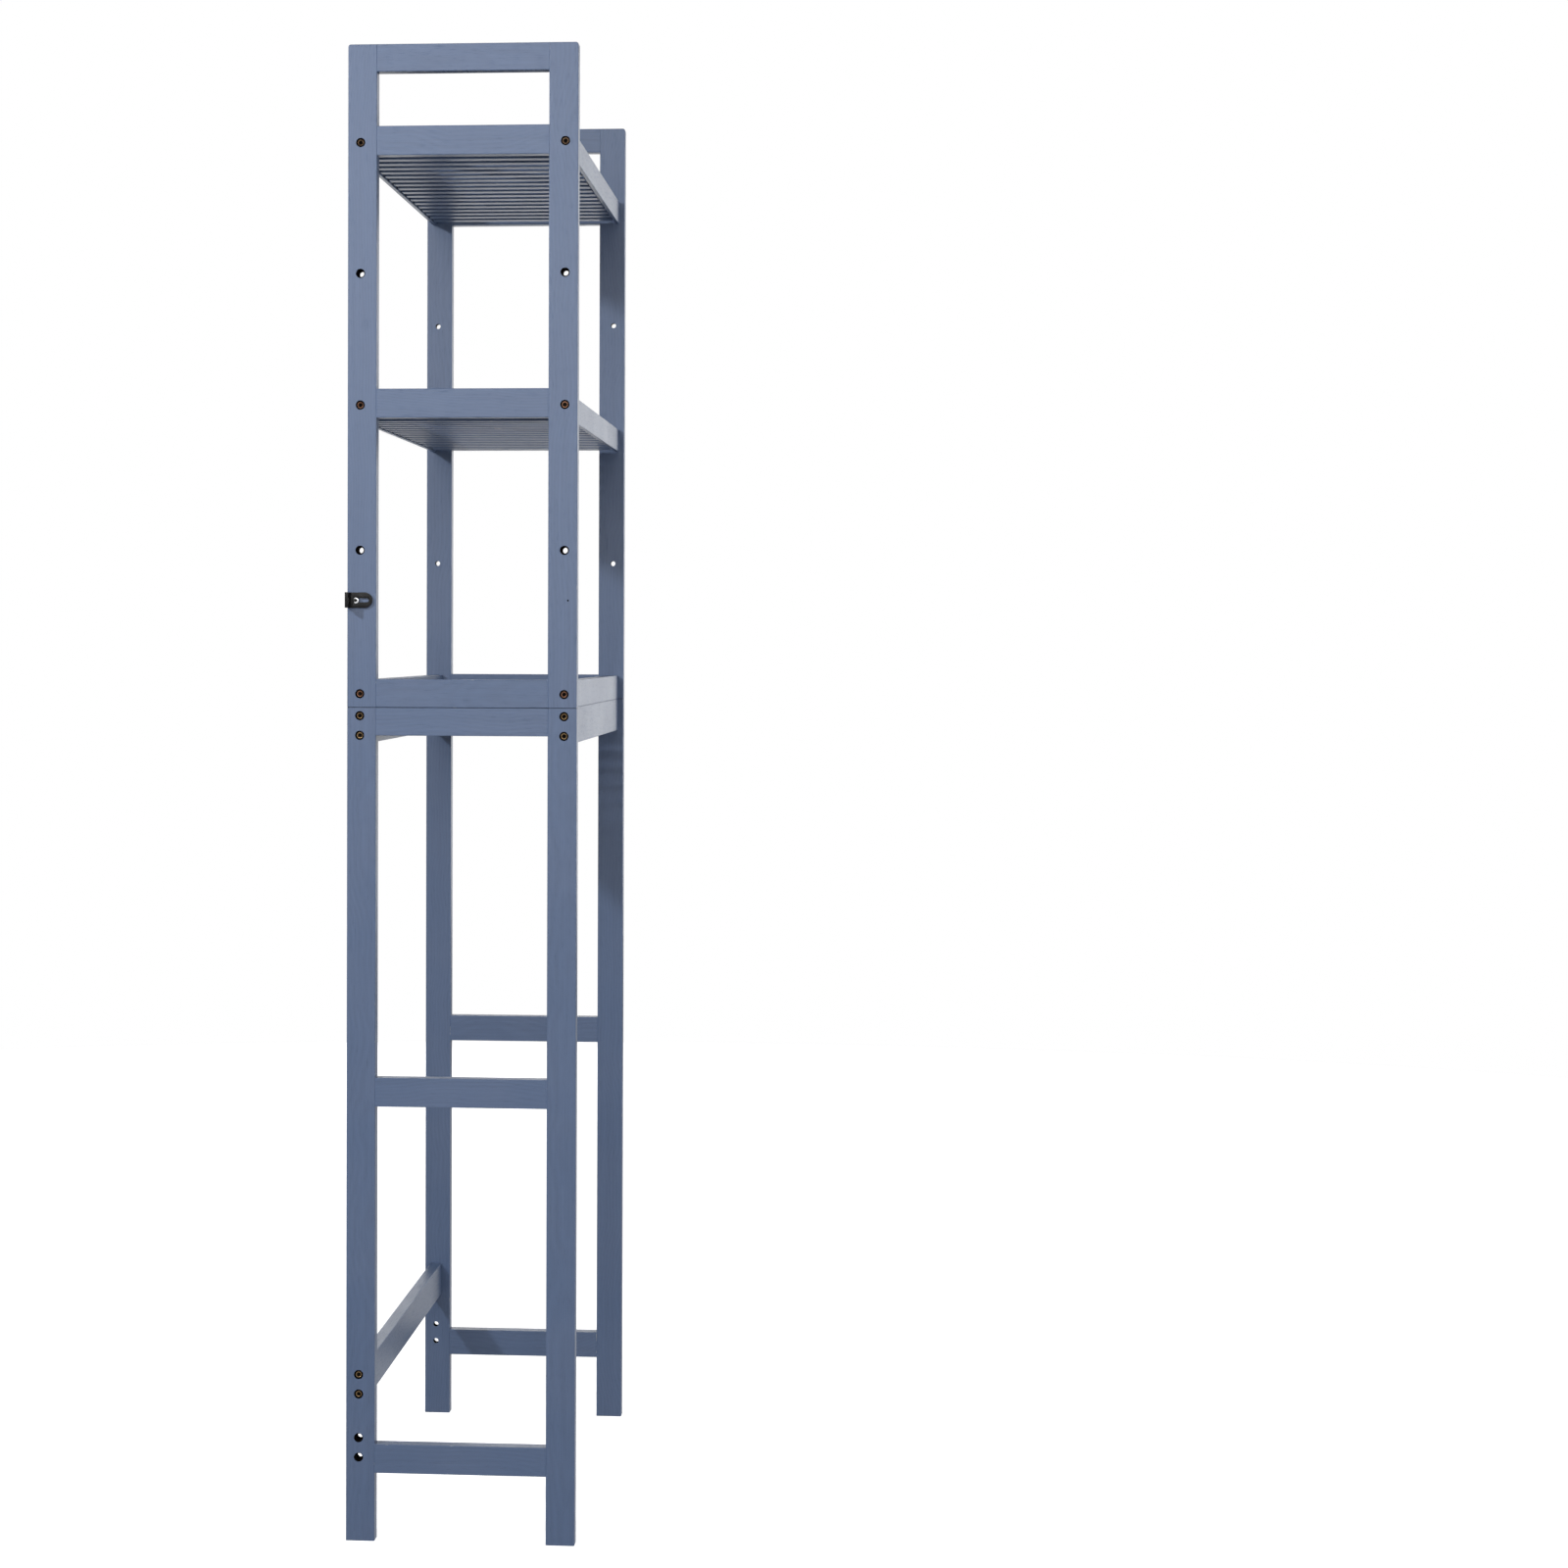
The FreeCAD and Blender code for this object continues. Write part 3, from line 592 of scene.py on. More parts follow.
@dataclass(frozen=True)
class MouldedPlastic:
    """Black moulded plastic with a fine spark-eroded texture, rubbed smoother and greyer at its edges."""

    slot: str = "black_plastic"
    colour: Colour = (0.004, 0.0038, 0.004)
    rubbed: Colour = (0.010, 0.0095, 0.010)

    def material(self, name: str) -> bpy.types.Material:
        """The plastic of the wall anchors.

        Args:
            name: The material's name.

        Returns:
            Its material.
        """
        sheet = NodeSheet.fresh(name)
        place = sheet.place()
        texture = sheet.noise(place, 4200.0, 2.0, 0.6)
        handled = sheet.ramp(sheet.noise(place, 140.0, 4.0, 0.6), 0.45, 0.70)
        return sheet.surface(Base_Color=sheet.mix(handled, self.colour, self.rubbed),
                             Roughness=sheet.math("MULTIPLY_ADD", handled, -0.10, 0.36),
                             Specular_IOR_Level=0.16, Normal=sheet.bump(texture, 0.020 * MM))


@dataclass(frozen=True)
class StudioFloor:
    """A pale matt floor that throws little light back up at the rack."""

    colour: Colour = (0.90, 0.90, 0.90)
    bounce: Colour = (0.20, 0.20, 0.20)
    glow: float = 0.78
    sheen: float = 0.75

    def material(self, name: str) -> bpy.types.Material:
        """The floor's own material.

        Args:
            name: The material's name.

        Returns:
            Its material.
        """
        sheet = NodeSheet.fresh(name)
        cloud = sheet.ramp(sheet.noise(sheet.place(), 1.5, 2.0), 0.3, 0.7, 0.985, 1.0)
        path = sheet.node("ShaderNodeLightPath")
        seen, mirrored = path.outputs["Is Camera Ray"], path.outputs["Is Glossy Ray"]
        glow = sheet.math("MULTIPLY_ADD", mirrored, self.sheen, sheet.math("MULTIPLY", seen, self.glow))
        return sheet.surface(Base_Color=sheet.scaled(sheet.mix(seen, self.bounce, self.colour), cloud),
                             Roughness=0.6, Specular_IOR_Level=0.0, Emission_Color=(1.0, 1.0, 1.0),
                             Emission_Strength=glow)


# ---- mesh work ----


def islands(node: str) -> list[tuple[Vector, Vector]]:
    """The boxes of the separate solids in one CAD node.

    Args:
        node: The node's name.

    Returns:
        The lowest and highest corner of each solid, from the lowest and leftmost up.
    """
    work = bmesh.new()
    work.from_mesh(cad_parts[node].data)
    bmesh.ops.remove_doubles(work, verts=work.verts, dist=0.002 * MM)
    waiting, found = set(work.verts), []
    while waiting:
        edge_of_group, group = [waiting.pop()], []
        while edge_of_group:
            vert = edge_of_group.pop()
            group.append(vert.co.copy())
            for edge in vert.link_edges:
                other = edge.other_vert(vert)
                if other in waiting:
                    waiting.discard(other)
                    edge_of_group.append(other)
        low = Vector(min(co[axis] for co in group) for axis in range(3))
        high = Vector(max(co[axis] for co in group) for axis in range(3))
        found.append((low, high))
    work.free()
    return sorted(found, key=lambda box: (round(box[0].z, 5), round(box[0].y, 5), round(box[0].x, 5)))


@dataclass
class Turned:
    """A piece turned about its own +Z, as rings of equally many points from one end to the other."""

    sides: int
    rings: list[list[Vector]]
    # Rings whose faces take the second material; on the bolts that is painted shade.
    dull: tuple[int, ...] = ()
    hollow: bool = False

    @classmethod
    def start(cls, sides: int) -> "Turned":
        """An empty piece with that many points in each ring."""
        return cls(sides, [])

    def circle(self, height: float, radius: float) -> None:
        """Adds a round ring at a height."""
        self.ring(height, [radius] * self.sides)

    def hexagon(self, height: float, flats: float) -> None:
        """Adds a six-sided ring, measured across its flats, at a height."""
        sixth = math.pi / 3
        radii = []
        for index in range(self.sides):
            off_flat = (index * 2 * math.pi / self.sides + sixth / 2) % sixth - sixth / 2
            radii.append(flats / 2 / math.cos(off_flat))
        self.ring(height, radii)

    def ring(self, height: float, radii: Sequence[float]) -> None:
        """Adds a ring with a radius of its own for each point.

        Args:
            height: The ring's height.
            radii: One radius for each point.
        """
        points = []
        for index, radius in enumerate(radii):
            angle = index * 2 * math.pi / self.sides
            points.append(Vector((radius * math.cos(angle), radius * math.sin(angle), height)))
        self.rings.append(points)

    def rounded(self, start: float, radius: float, round_off: float, steps: int,
                closing: bool = False) -> None:
        """Adds a quarter-round edge.

        Args:
            start: Height of the end face that the edge runs to or from.
            radius: The piece's full radius.
            round_off: Radius of the rounding.
            steps: Stretches in the quarter.
            closing: Whether the piece ends in this edge; otherwise it starts with it.
        """
        for step in range(steps + 1):
            angle = math.pi / 2 * (1 - step / steps if closing else step / steps)
            rise = round_off * (1 - math.cos(angle))
            self.circle(start - rise if closing else start + rise, radius - round_off * (1 - math.sin(angle)))

    def thread(self, start: float, end: float, crest: float, root: float, pitch: float,
               steps: int = 4, taper: float = 0.0) -> None:
        """Adds a screw thread.

        Args:
            start: Height of the first ring.
            end: Height of the last ring.
            crest: Outer radius.
            root: Radius at the bottom of the thread.
            pitch: From one turn to the next.
            steps: Rings in each turn.
            taper: Length before the end over which the thread runs down to a point.
        """
        count = max(2, round(abs(end - start) / pitch * steps))
        for step in range(count + 1):
            height = start + (end - start) * step / count
            left = abs(end - height)
            shrink = min(1.0, max(0.06, left / taper)) if taper else 1.0
            radii = []
            for index in range(self.sides):
                phase = (height / pitch - index / self.sides) % 1.0
                rise = 1 - min(1.0, abs(phase - 0.5) / 0.38)
                radii.append((root + (crest - root) * rise) * shrink)
            self.ring(height, radii)

    def into(self, mesh: bmesh.types.BMesh, matrix: Matrix) -> None:
        """Skins the rings and adds the piece to a mesh.

        A hollow piece's last ring joins its first; any other piece is closed at both ends. Faces that start
        from a dull ring get the second material, which on the bolts is near-black painted shade.

        Args:
            mesh: The mesh to add to.
            matrix: Where the piece goes.
        """
        rows = [[mesh.verts.new(matrix @ point) for point in ring] for ring in self.rings]
        following = rows[1:] + rows[:1] if self.hollow else rows[1:]
        for place, (lower, upper) in enumerate(zip(rows, following)):
            for index in range(self.sides):
                after = (index + 1) % self.sides
                face = mesh.faces.new((lower[index], lower[after], upper[after], upper[index]))
                face.material_index = 1 if place in self.dull else 0
        if self.hollow:
            return
        for row, ring, flip in ((rows[0], self.rings[0], True), (rows[-1], self.rings[-1], False)):
            middle = mesh.verts.new(matrix @ (sum(ring, Vector()) / len(ring)))
            for index in range(self.sides):
                after = (index + 1) % self.sides
                corners = (row[after], row[index], middle) if flip else (row[index], row[after], middle)
                mesh.faces.new(corners).material_index = 1 if flip and self.dull else 0


def outer_end(low: Vector, high: Vector) -> tuple[Vector, Vector]:
    """Where a fitting that lies along X shows on the outside of the rack.

    Args:
        low: Lowest corner of its box.
        high: Highest corner of its box.

    Returns:
        The middle of its outer end, and the way in from there.
    """
    outer, way_in = (low.x, 1.0) if low.x < 0 else (high.x, -1.0)
    return Vector((outer, (low.y + high.y) / 2, (low.z + high.z) / 2)), Vector((way_in, 0, 0))


def facing(origin: Vector, direction: Vector, turn: float = 0.0) -> Matrix:
    """Puts a turned piece somewhere.

    Args:
        origin: Where its own zero goes.
        direction: Where its own +Z points.
        turn: Turn about its own axis, in radians.

    Returns:
        The matrix for it.
    """
    rotation = direction.to_track_quat("Z", "Y").to_matrix().to_4x4()
    return Matrix.Translation(origin) @ rotation @ Matrix.Rotation(turn, 4, "Z")


def new_object(name: str, mesh: bmesh.types.BMesh) -> bpy.types.Object:
    """Turns finished mesh work into a shaded object.

    Args:
        name: The object's name.
        mesh: The mesh work, which is used up.

    Returns:
        The object, linked to the scene.
    """
    bmesh.ops.recalc_face_normals(mesh, faces=mesh.faces)
    data = bpy.data.meshes.new(name)
    mesh.to_mesh(data)
    mesh.free()
    data.shade_smooth()
    data.set_sharp_from_angle(angle=SHARP_ANGLE)
    made = bpy.data.objects.new(name, data)
    bpy.context.scene.collection.objects.link(made)
    return made


def with_modifiers(made: bpy.types.Object) -> bpy.types.Object:
    """Bakes an object's modifiers into its mesh and removes them."""
    graph = bpy.context.evaluated_depsgraph_get()
    data = bpy.data.meshes.new_from_object(made.evaluated_get(graph))
    made.modifiers.clear()
    made.data = data
    data.shade_smooth()
    data.set_sharp_from_angle(angle=SHARP_ANGLE)
    return made


def prism(name: str, outline: Iterable[Sequence[float]], normal: int, low: float,
          high: float) -> bpy.types.Object:
    """A flat outline drawn out along one axis.

    Args:
        name: The object's name.
        outline: Points on the two other axes, in order round the outline.
        normal: The axis drawn along, 0 to 2.
        low: Where it starts on that axis.
        high: Where it ends on that axis.

    Returns:
        The prism, as an object.
    """
    mesh = bmesh.new()
    ends = []
    for level in (low, high):
        row = []
        for first, second in outline:
            place = [first, second]
            place.insert(normal, level)
            row.append(mesh.verts.new(place))
        ends.append(row)
        mesh.faces.new(row)
    count = len(ends[0])
    for index in range(count):
        after = (index + 1) % count
        mesh.faces.new((ends[0][index], ends[0][after], ends[1][after], ends[1][index]))
    return new_object(name, mesh)


def arc(centre: Sequence[float], radius: float, start: float, end: float,
        steps: int = 12) -> list[tuple[float, float]]:
    """Points on a round stretch of an outline.

    Args:
        centre: The middle of the arc.
        radius: Its radius.
        start: Angle of the first point, in degrees.
        end: Angle of the last point, in degrees.
        steps: Stretches between them.

    Returns:
        The points, both ends included.
    """
    points = []
    for step in range(steps + 1):
        angle = math.radians(start + (end - start) * step / steps)
        points.append((centre[0] + radius * math.cos(angle), centre[1] + radius * math.sin(angle)))
    return points


def cut(made: bpy.types.Object, tool: bpy.types.Object, operation: str = "DIFFERENCE") -> None:
    """Shapes one object with another, and throws the tool away.

    Args:
        made: The object that stays.
        tool: The object that cuts it, joins it or limits it.
        operation: Blender's name for what is done.
    """
    modifier = made.modifiers.new("shape", "BOOLEAN")
    modifier.operation = operation
    modifier.solver = "EXACT"
    modifier.object = tool
    with_modifiers(made)
    bpy.data.objects.remove(tool)


def dress(piece: bpy.types.Object, materials: Sequence[bpy.types.Material],
          node: str) -> bpy.types.Object:
    """Finishes a piece that stands for a CAD node.

    Args:
        piece: The piece, in place.
        materials: What it is covered with, in the order that its faces number them.
        node: The CAD node it stands for.

    Returns:
        The same piece.
    """
    indices = [face.material_index for face in piece.data.polygons]
    piece.data.materials.clear()
    for material in materials:
        piece.data.materials.append(material)
    piece.data.polygons.foreach_set("material_index", indices)
    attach(piece, BODY)
    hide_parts(node)
    log.info("%s: %d faces, stands for %s", piece.name, len(piece.data.polygons), node)
    return piece


def paint(stick: Stick, finish: PaintedWood) -> bpy.types.Object:
    """Paints a stick that keeps its CAD shape.

    Args:
        stick: The stick.
        finish: Its paint.

    Returns:
        The CAD node's object.
    """
    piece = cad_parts[stick.node]
    material = finish.material(stick)
    for slot in piece.material_slots:
        slot.material = material
    log.info("%s: painted, grain along %s", piece.name, stick.grain.name)
    return piece


# ---- sub-assemblies ----


@dataclass
class SideFrame:
    """One glued side frame: two posts and the end rails between them."""

    tier: Tier
    hand: Hand
    finish: PaintedWood
    first_seed: int

    def rail_names(self) -> list[str]:
        """The end rails of this tier, from the top down."""
        if self.tier is Tier.UPPER:
            return ["top_end_rail", "top_shelf_end_rail", "middle_shelf_end_rail", "base_end_rail"]
        return ["top_end_rail", "middle_end_rail", "bottom_end_rail"]

    def build(self) -> None:
        """Paints the posts with upright grain and the end rails with level grain."""
        stem = f"{self.tier.value}_{self.hand.name.lower()}"
        sticks = [(f"{stem}_{end}_post", Grain.Z) for end in ("front", "back")]
        sticks += [(f"{stem}_{name}", Grain.Y) for name in self.rail_names()]
        low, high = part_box(sticks[0][0])
        # The joint with the other tier gets a painted shade line.
        seams = (low.z if self.tier is Tier.UPPER else high.z,)
        for place, (node, grain) in enumerate(sticks):
            bored = grain is Grain.Z
            paint(Stick(node, grain, self.first_seed + place, bored=bored, seams=seams), self.finish)


@dataclass
class SlattedShelf:
    """One shelf: a front rail, a back rail and the slats let into them."""

    name: str
    finish: PaintedWood
    first_seed: int
    slat_count: int = 17
    slat_width: float = 17.5 * MM

    def build(self) -> None:
        """Paints the rails with grain along the rack and each slat with its own grain across it."""
        paint(Stick(f"{self.name}_front_rail", Grain.X, self.first_seed), self.finish)
        paint(Stick(f"{self.name}_back_rail", Grain.X, self.first_seed + 1), self.finish)
        slats = Stick(f"{self.name}_slats", Grain.Y, self.first_seed + 2, self.slat_count, self.slat_width)
        paint(slats, self.finish)


@dataclass
class CrossRail:
    """A single rail that ties the two side frames together."""

    node: str
    finish: PaintedWood
    seed: int

    def build(self) -> None:
        """Paints the rail with its grain along the rack."""
        paint(Stick(self.node, Grain.X, self.seed), self.finish)


@dataclass
class BoltSet:
    """Hex socket bolts that stand for one CAD node of bolts."""

    node: str
    finish: PlatedMetal
    shade_finish: PlatedMetal
    seed: int
    sides: int = 24
    head_radius: float = 4.7 * MM
    head_thick: float = 4.2 * MM
    rim_round: float = 1.45 * MM
    rim_steps: int = 6
    socket_flats: float = 4.0 * MM
    socket_mouth: float = 2.5 * MM
    socket_deep: float = 2.6 * MM
    socket_point: float = 0.35 * MM
    mouth_bevel: float = 0.06 * MM
    edge_bevel: float = 0.25 * MM
    fillet: float = 0.4 * MM
    shank_radius: float = 3.0 * MM
    thread_root: float = 2.5 * MM
    thread_pitch: float = 1.0 * MM
    plain_shank: float = 8.0 * MM
    point: float = 0.8 * MM

    def profile(self, length: float) -> Turned:
        """One bolt from the bottom of its socket, round its head and down to its tip.

        Args:
            length: The whole bolt, head included.

        Returns:
            The bolt, its head's top at zero and its tip along +Z.
        """
        bolt = Turned.start(self.sides)
        bolt.circle(self.socket_deep + self.socket_point, 0.5 * MM)
        bolt.hexagon(self.socket_deep, self.socket_flats)
        bolt.hexagon(self.socket_point, self.socket_flats)
        bolt.circle(self.mouth_bevel, self.socket_mouth)
        bolt.circle(0.0, self.socket_mouth + 2 * self.mouth_bevel)
        first_rim = len(bolt.rings)
        bolt.rounded(0.0, self.head_radius, self.rim_round, self.rim_steps)
        under_head = len(bolt.rings) + 3
        # The socket's bottom and the rounded rim get painted shade, for the shade of the counterbore round
        # the head.
        bolt.dull = (0, *range(first_rim, under_head))
        bolt.circle(self.head_thick - self.edge_bevel, self.head_radius)
        bolt.circle(self.head_thick, self.head_radius - self.edge_bevel)
        bolt.circle(self.head_thick, self.shank_radius + self.fillet)
        bolt.circle(self.head_thick + self.fillet, self.shank_radius)
        shoulder = self.head_thick + self.plain_shank
        bolt.circle(shoulder, self.shank_radius)
        bolt.circle(shoulder + self.fillet, self.thread_root)
        bolt.thread(shoulder + 1.5 * self.fillet, length - self.point,
                    self.shank_radius, self.thread_root, self.thread_pitch)
        bolt.circle(length, self.thread_root - 0.5 * MM)
        return bolt

    def build(self) -> bpy.types.Object:
        """Makes every bolt of the set, each turned by chance about its own axis.

        Returns:
            The set as one piece.
        """
        rng = random.Random(self.seed)
        mesh = bmesh.new()
        for low, high in islands(self.node):
            turned = self.profile(high.x - low.x)
            turned.into(mesh, facing(*outer_end(low, high), rng.uniform(0, math.pi / 3)))
        piece = new_object(f"{self.node}_turned", mesh)
        # The second material is near-black painted shade for the rim and the socket.
        plates = [self.finish.material(f"plate_on_{self.node}"),
                  self.shade_finish.material(f"dull_plate_on_{self.node}")]
        return dress(piece, plates, self.node)


@dataclass
class InsertSet:
    """Threaded inserts, screwed into the ends of the rails, that stand for one CAD node of inserts."""

    node: str
    finish: PlatedMetal
    sides: int = 24
    wall_root: float = 3.75 * MM
    bore_radius: float = 3.05 * MM
    collar: float = 1.4 * MM
    collar_bevel: float = 0.2 * MM
    bore_bevel: float = 0.25 * MM
    thread_pitch: float = 2.0 * MM
    thread_steps: int = 6

    def profile(self, radius: float, length: float) -> Turned:
        """One insert: a collar, a coarse thread outside and a bore through it.

        Args:
            radius: Its outer radius.
            length: Its length.

        Returns:
            The insert along +Z, its rings running up the outside and back down the bore.
        """
        insert = Turned.start(self.sides)
        insert.hollow = True
        insert.circle(0.0, radius - self.collar_bevel)
        insert.circle(self.collar_bevel, radius)
        insert.circle(self.collar, radius)
        insert.thread(self.collar + 0.3 * MM, length - 0.5 * MM, radius, self.wall_root,
                      self.thread_pitch, self.thread_steps)
        insert.circle(length, self.wall_root - 0.1 * MM)
        insert.circle(length, self.bore_radius + self.bore_bevel)
        insert.circle(length - self.bore_bevel, self.bore_radius)
        insert.circle(self.bore_bevel, self.bore_radius)
        insert.circle(0.0, self.bore_radius + self.bore_bevel)
        return insert

    def build(self) -> bpy.types.Object:
        """Makes every insert of the set.

        Returns:
            The set as one piece.
        """
        mesh = bmesh.new()
        for low, high in islands(self.node):
            insert = self.profile((high.z - low.z) / 2, high.x - low.x)
            insert.into(mesh, facing(*outer_end(low, high)))
        piece = new_object(f"{self.node}_turned", mesh)
        return dress(piece, [self.finish.material(f"plate_on_{self.node}")], self.node)


@dataclass
class DowelSet:
    """Fluted beech dowels that stand for one CAD node of dowels."""

    node: str
    finish: BareWood
    flutes: int = 12
    flute_deep: float = 0.35 * MM
    bevel: float = 0.6 * MM

    def profile(self, radius: float, length: float) -> Turned:
        """One dowel along +Z, fluted and bevelled at both ends.

        Args:
            radius: Its outer radius.
            length: Its length.

        Returns:
            The dowel.
        """
        sides = self.flutes * 3
        outer = [radius - (self.flute_deep if index % 3 == 0 else 0.0) for index in range(sides)]
        dowel = Turned.start(sides)
        dowel.circle(0.0, radius - self.bevel)
        dowel.ring(self.bevel, outer)
        dowel.ring(length - self.bevel, outer)
        dowel.circle(length, radius - self.bevel)
        return dowel

    def build(self) -> bpy.types.Object:
        """Makes every dowel of the set.

        Returns:
            The set as one piece.
        """
        mesh = bmesh.new()
        for low, high in islands(self.node):
            foot = Vector(((low.x + high.x) / 2, low.y, (low.z + high.z) / 2))
            self.profile((high.x - low.x) / 2, high.y - low.y).into(mesh, facing(foot, Vector((0, 1, 0))))
        piece = new_object(f"{self.node}_fluted", mesh)
        material = self.finish.material(f"wood_of_{self.node}", Grain.Y)
        return dress(piece, [material], self.node)


@dataclass
class JoiningPins:
    """The steel pins that locate the upper frames on the lower ones."""

    finish: PlatedMetal
    node: str = "frame_joining_pins"
    sides: int = 32
    nose: float = 1.2 * MM
    nose_steps: int = 4
    groove: float = 0.3 * MM

    def build(self) -> bpy.types.Object:
        """Makes the pins, with rounded noses and a ring groove at the middle.

        Returns:
            The pins as one piece.
        """
        mesh = bmesh.new()
        for low, high in islands(self.node):
            radius, length = (high.x - low.x) / 2, high.z - low.z
            pin = Turned.start(self.sides)
            pin.rounded(0.0, radius, self.nose, self.nose_steps)
            for offset, depth in ((-0.6, 0.0), (-0.3, self.groove), (0.3, self.groove), (0.6, 0.0)):
                pin.circle(length / 2 + offset * MM, radius - depth)
            pin.rounded(length, radius, self.nose, self.nose_steps, closing=True)
            foot = Vector(((low.x + high.x) / 2, (low.y + high.y) / 2, low.z))
            pin.into(mesh, facing(foot, Vector((0, 0, 1))))
        piece = new_object(f"{self.node}_turned", mesh)
        return dress(piece, [self.finish.material(f"plate_on_{self.node}")], self.node)


@dataclass
class WallAnchor:
    """A moulded angle anchor: a slotted side plate, a leg for the wall and the screw that holds it."""

    hand: Hand
    plastic: MouldedPlastic
    metal: PlatedMetal
    plate_thick: float = 3.0 * MM
    leg_thick: float = 3.5 * MM
    inner_round: float = 2.0 * MM
    outer_round: float = 1.2 * MM
    slot_width: float = 4.6 * MM
    slot_inset: float = 6.0 * MM
    screw_inset: float = 10.0 * MM
    wall_hole: float = 5.0 * MM
    countersink: float = 8.6 * MM
    edge_round: float = 0.45 * MM
    screw_sides: int = 32
    recess_radius: float = 2.1 * MM
    head_thick: float = 2.2 * MM
    head_flat: float = 0.35
    head_dome: float = 0.62
    dome_steps: int = 6
    screw_core: float = 1.15 * MM
    screw_crest: float = 1.75 * MM
    screw_shank: float = 1.6 * MM
    screw_pitch: float = 1.35 * MM
    screw_taper: float = 3.0 * MM

    def corner_outline(self, low: Vector, high: Vector) -> list[tuple[float, float]]:
        """The anchor seen from above: side plate, rounded corner and wall leg.

        Args:
            low: Lowest corner of the anchor's box.
            high: Highest corner of the anchor's box.

        Returns:
            The outline in X and Y, for the left-hand anchor.
        """
        inner_x = high.x - self.plate_thick
        inner_y = high.y - self.leg_thick
        outline = [(inner_x, low.y), (high.x, low.y)]
        outline += arc((high.x - self.outer_round, high.y - self.outer_round), self.outer_round, 0, 90, 5)
        outline += [(low.x, high.y), (low.x, inner_y)]
        outline += arc((inner_x - self.inner_round, inner_y - self.inner_round), self.inner_round, 90, 0, 6)
        return outline

    def build_moulding(self) -> bpy.types.Object:
        """Makes the plastic angle.

        Returns:
            The moulding as one piece.
        """
        node = f"{self.hand.name.lower()}_wall_anchor"
        low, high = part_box(node)
        if self.hand is Hand.RIGHT:
            low, high = Vector((-high.x, low.y, low.z)), Vector((-low.x, high.y, high.z))
        middle, beyond = (low.z + high.z) / 2, 5 * MM
        nose = (high.z - low.z) / 2

        moulding = prism(f"{node}_moulding", self.corner_outline(low, high), 2, low.z, high.z)
        outline = arc((low.y + nose, middle), nose, 270, 90, 24)
        outline += [(high.y + beyond, high.z), (high.y + beyond, low.z)]
        cut(moulding, prism("nose", outline, 0, low.x - beyond, high.x + beyond), "INTERSECT")

        half = self.slot_width / 2
        slot = arc((low.y + self.slot_inset, middle), half, 270, 90)
        slot += arc((high.y - self.screw_inset, middle), half, 90, -90)
        cut(moulding, prism("slot", slot, 0, low.x - beyond, high.x + beyond))

        bore = Turned.start(self.screw_sides)
        bore.circle(-beyond, self.wall_hole / 2)
        bore.circle(self.leg_thick - (self.countersink - self.wall_hole) / 2, self.wall_hole / 2)
        bore.circle(self.leg_thick + 0.01 * MM, self.countersink / 2)
        bore.circle(self.leg_thick + beyond, self.countersink / 2)
        tool = bmesh.new()
        leg_middle = Vector(((low.x + high.x - self.plate_thick) / 2, high.y, middle))
        bore.into(tool, facing(leg_middle, Vector((0, -1, 0))))
        cut(moulding, new_object("bore", tool))

        softened = moulding.modifiers.new("edges", "BEVEL")
        softened.width = self.edge_round
        softened.segments = 3
        softened.limit_method = "ANGLE"
        softened.angle_limit = math.radians(35)
        with_modifiers(moulding)
        self.mirror_if_right(moulding)
        return dress(moulding, [self.plastic.material(f"plastic_of_{node}")], node)

    def mirror_if_right(self, piece: bpy.types.Object) -> None:
        """Mirrors a left-hand mesh for the right-hand side.

        Args:
            piece: The piece, made for the left.
        """
        if self.hand is Hand.RIGHT:
            piece.data.transform(Matrix.Scale(-1, 4, Vector((1, 0, 0))))
            piece.data.flip_normals()

    def build_screw(self) -> bpy.types.Object:
        """Makes the pan-head screw through the slot.

        Returns:
            The screw as one piece.
        """
        node = f"{self.hand.name.lower()}_anchor_screw"
        low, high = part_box(node)
        head, way_in = outer_end(low, high)
        radius, length, thick = (high.z - low.z) / 2, high.x - low.x, self.head_thick
        screw = Turned.start(self.screw_sides)
        screw.circle(0.0, radius * self.head_flat)
        for step in range(1, self.dome_steps + 1):
            angle = math.pi / 2 * step / self.dome_steps
            spread = radius * (self.head_flat + (1 - self.head_flat) * math.sin(angle))
            screw.circle(thick * self.head_dome * (1 - math.cos(angle)), spread)
        screw.circle(thick - 0.15 * MM, radius)
        screw.circle(thick, radius - 0.15 * MM)
        screw.circle(thick, self.screw_shank + 0.3 * MM)
        screw.circle(thick + 0.3 * MM, self.screw_shank)
        screw.circle(thick + self.plate_thick, self.screw_shank)
        screw.thread(thick + self.plate_thick + 0.2 * MM, length, self.screw_crest, self.screw_core,
                     self.screw_pitch, 6, self.screw_taper)
        mesh = bmesh.new()
        screw.into(mesh, facing(head, way_in))
        piece = new_object(f"{node}_turned", mesh)
        for turn in (0.0, math.pi / 2):
            cut(piece, self.recess_wing(facing(head, way_in, turn + math.pi / 4)))
        # The cross recess gets painted shade.
        material = self.metal.material(f"plate_on_{node}", head, self.recess_radius)
        return dress(piece, [material], node)

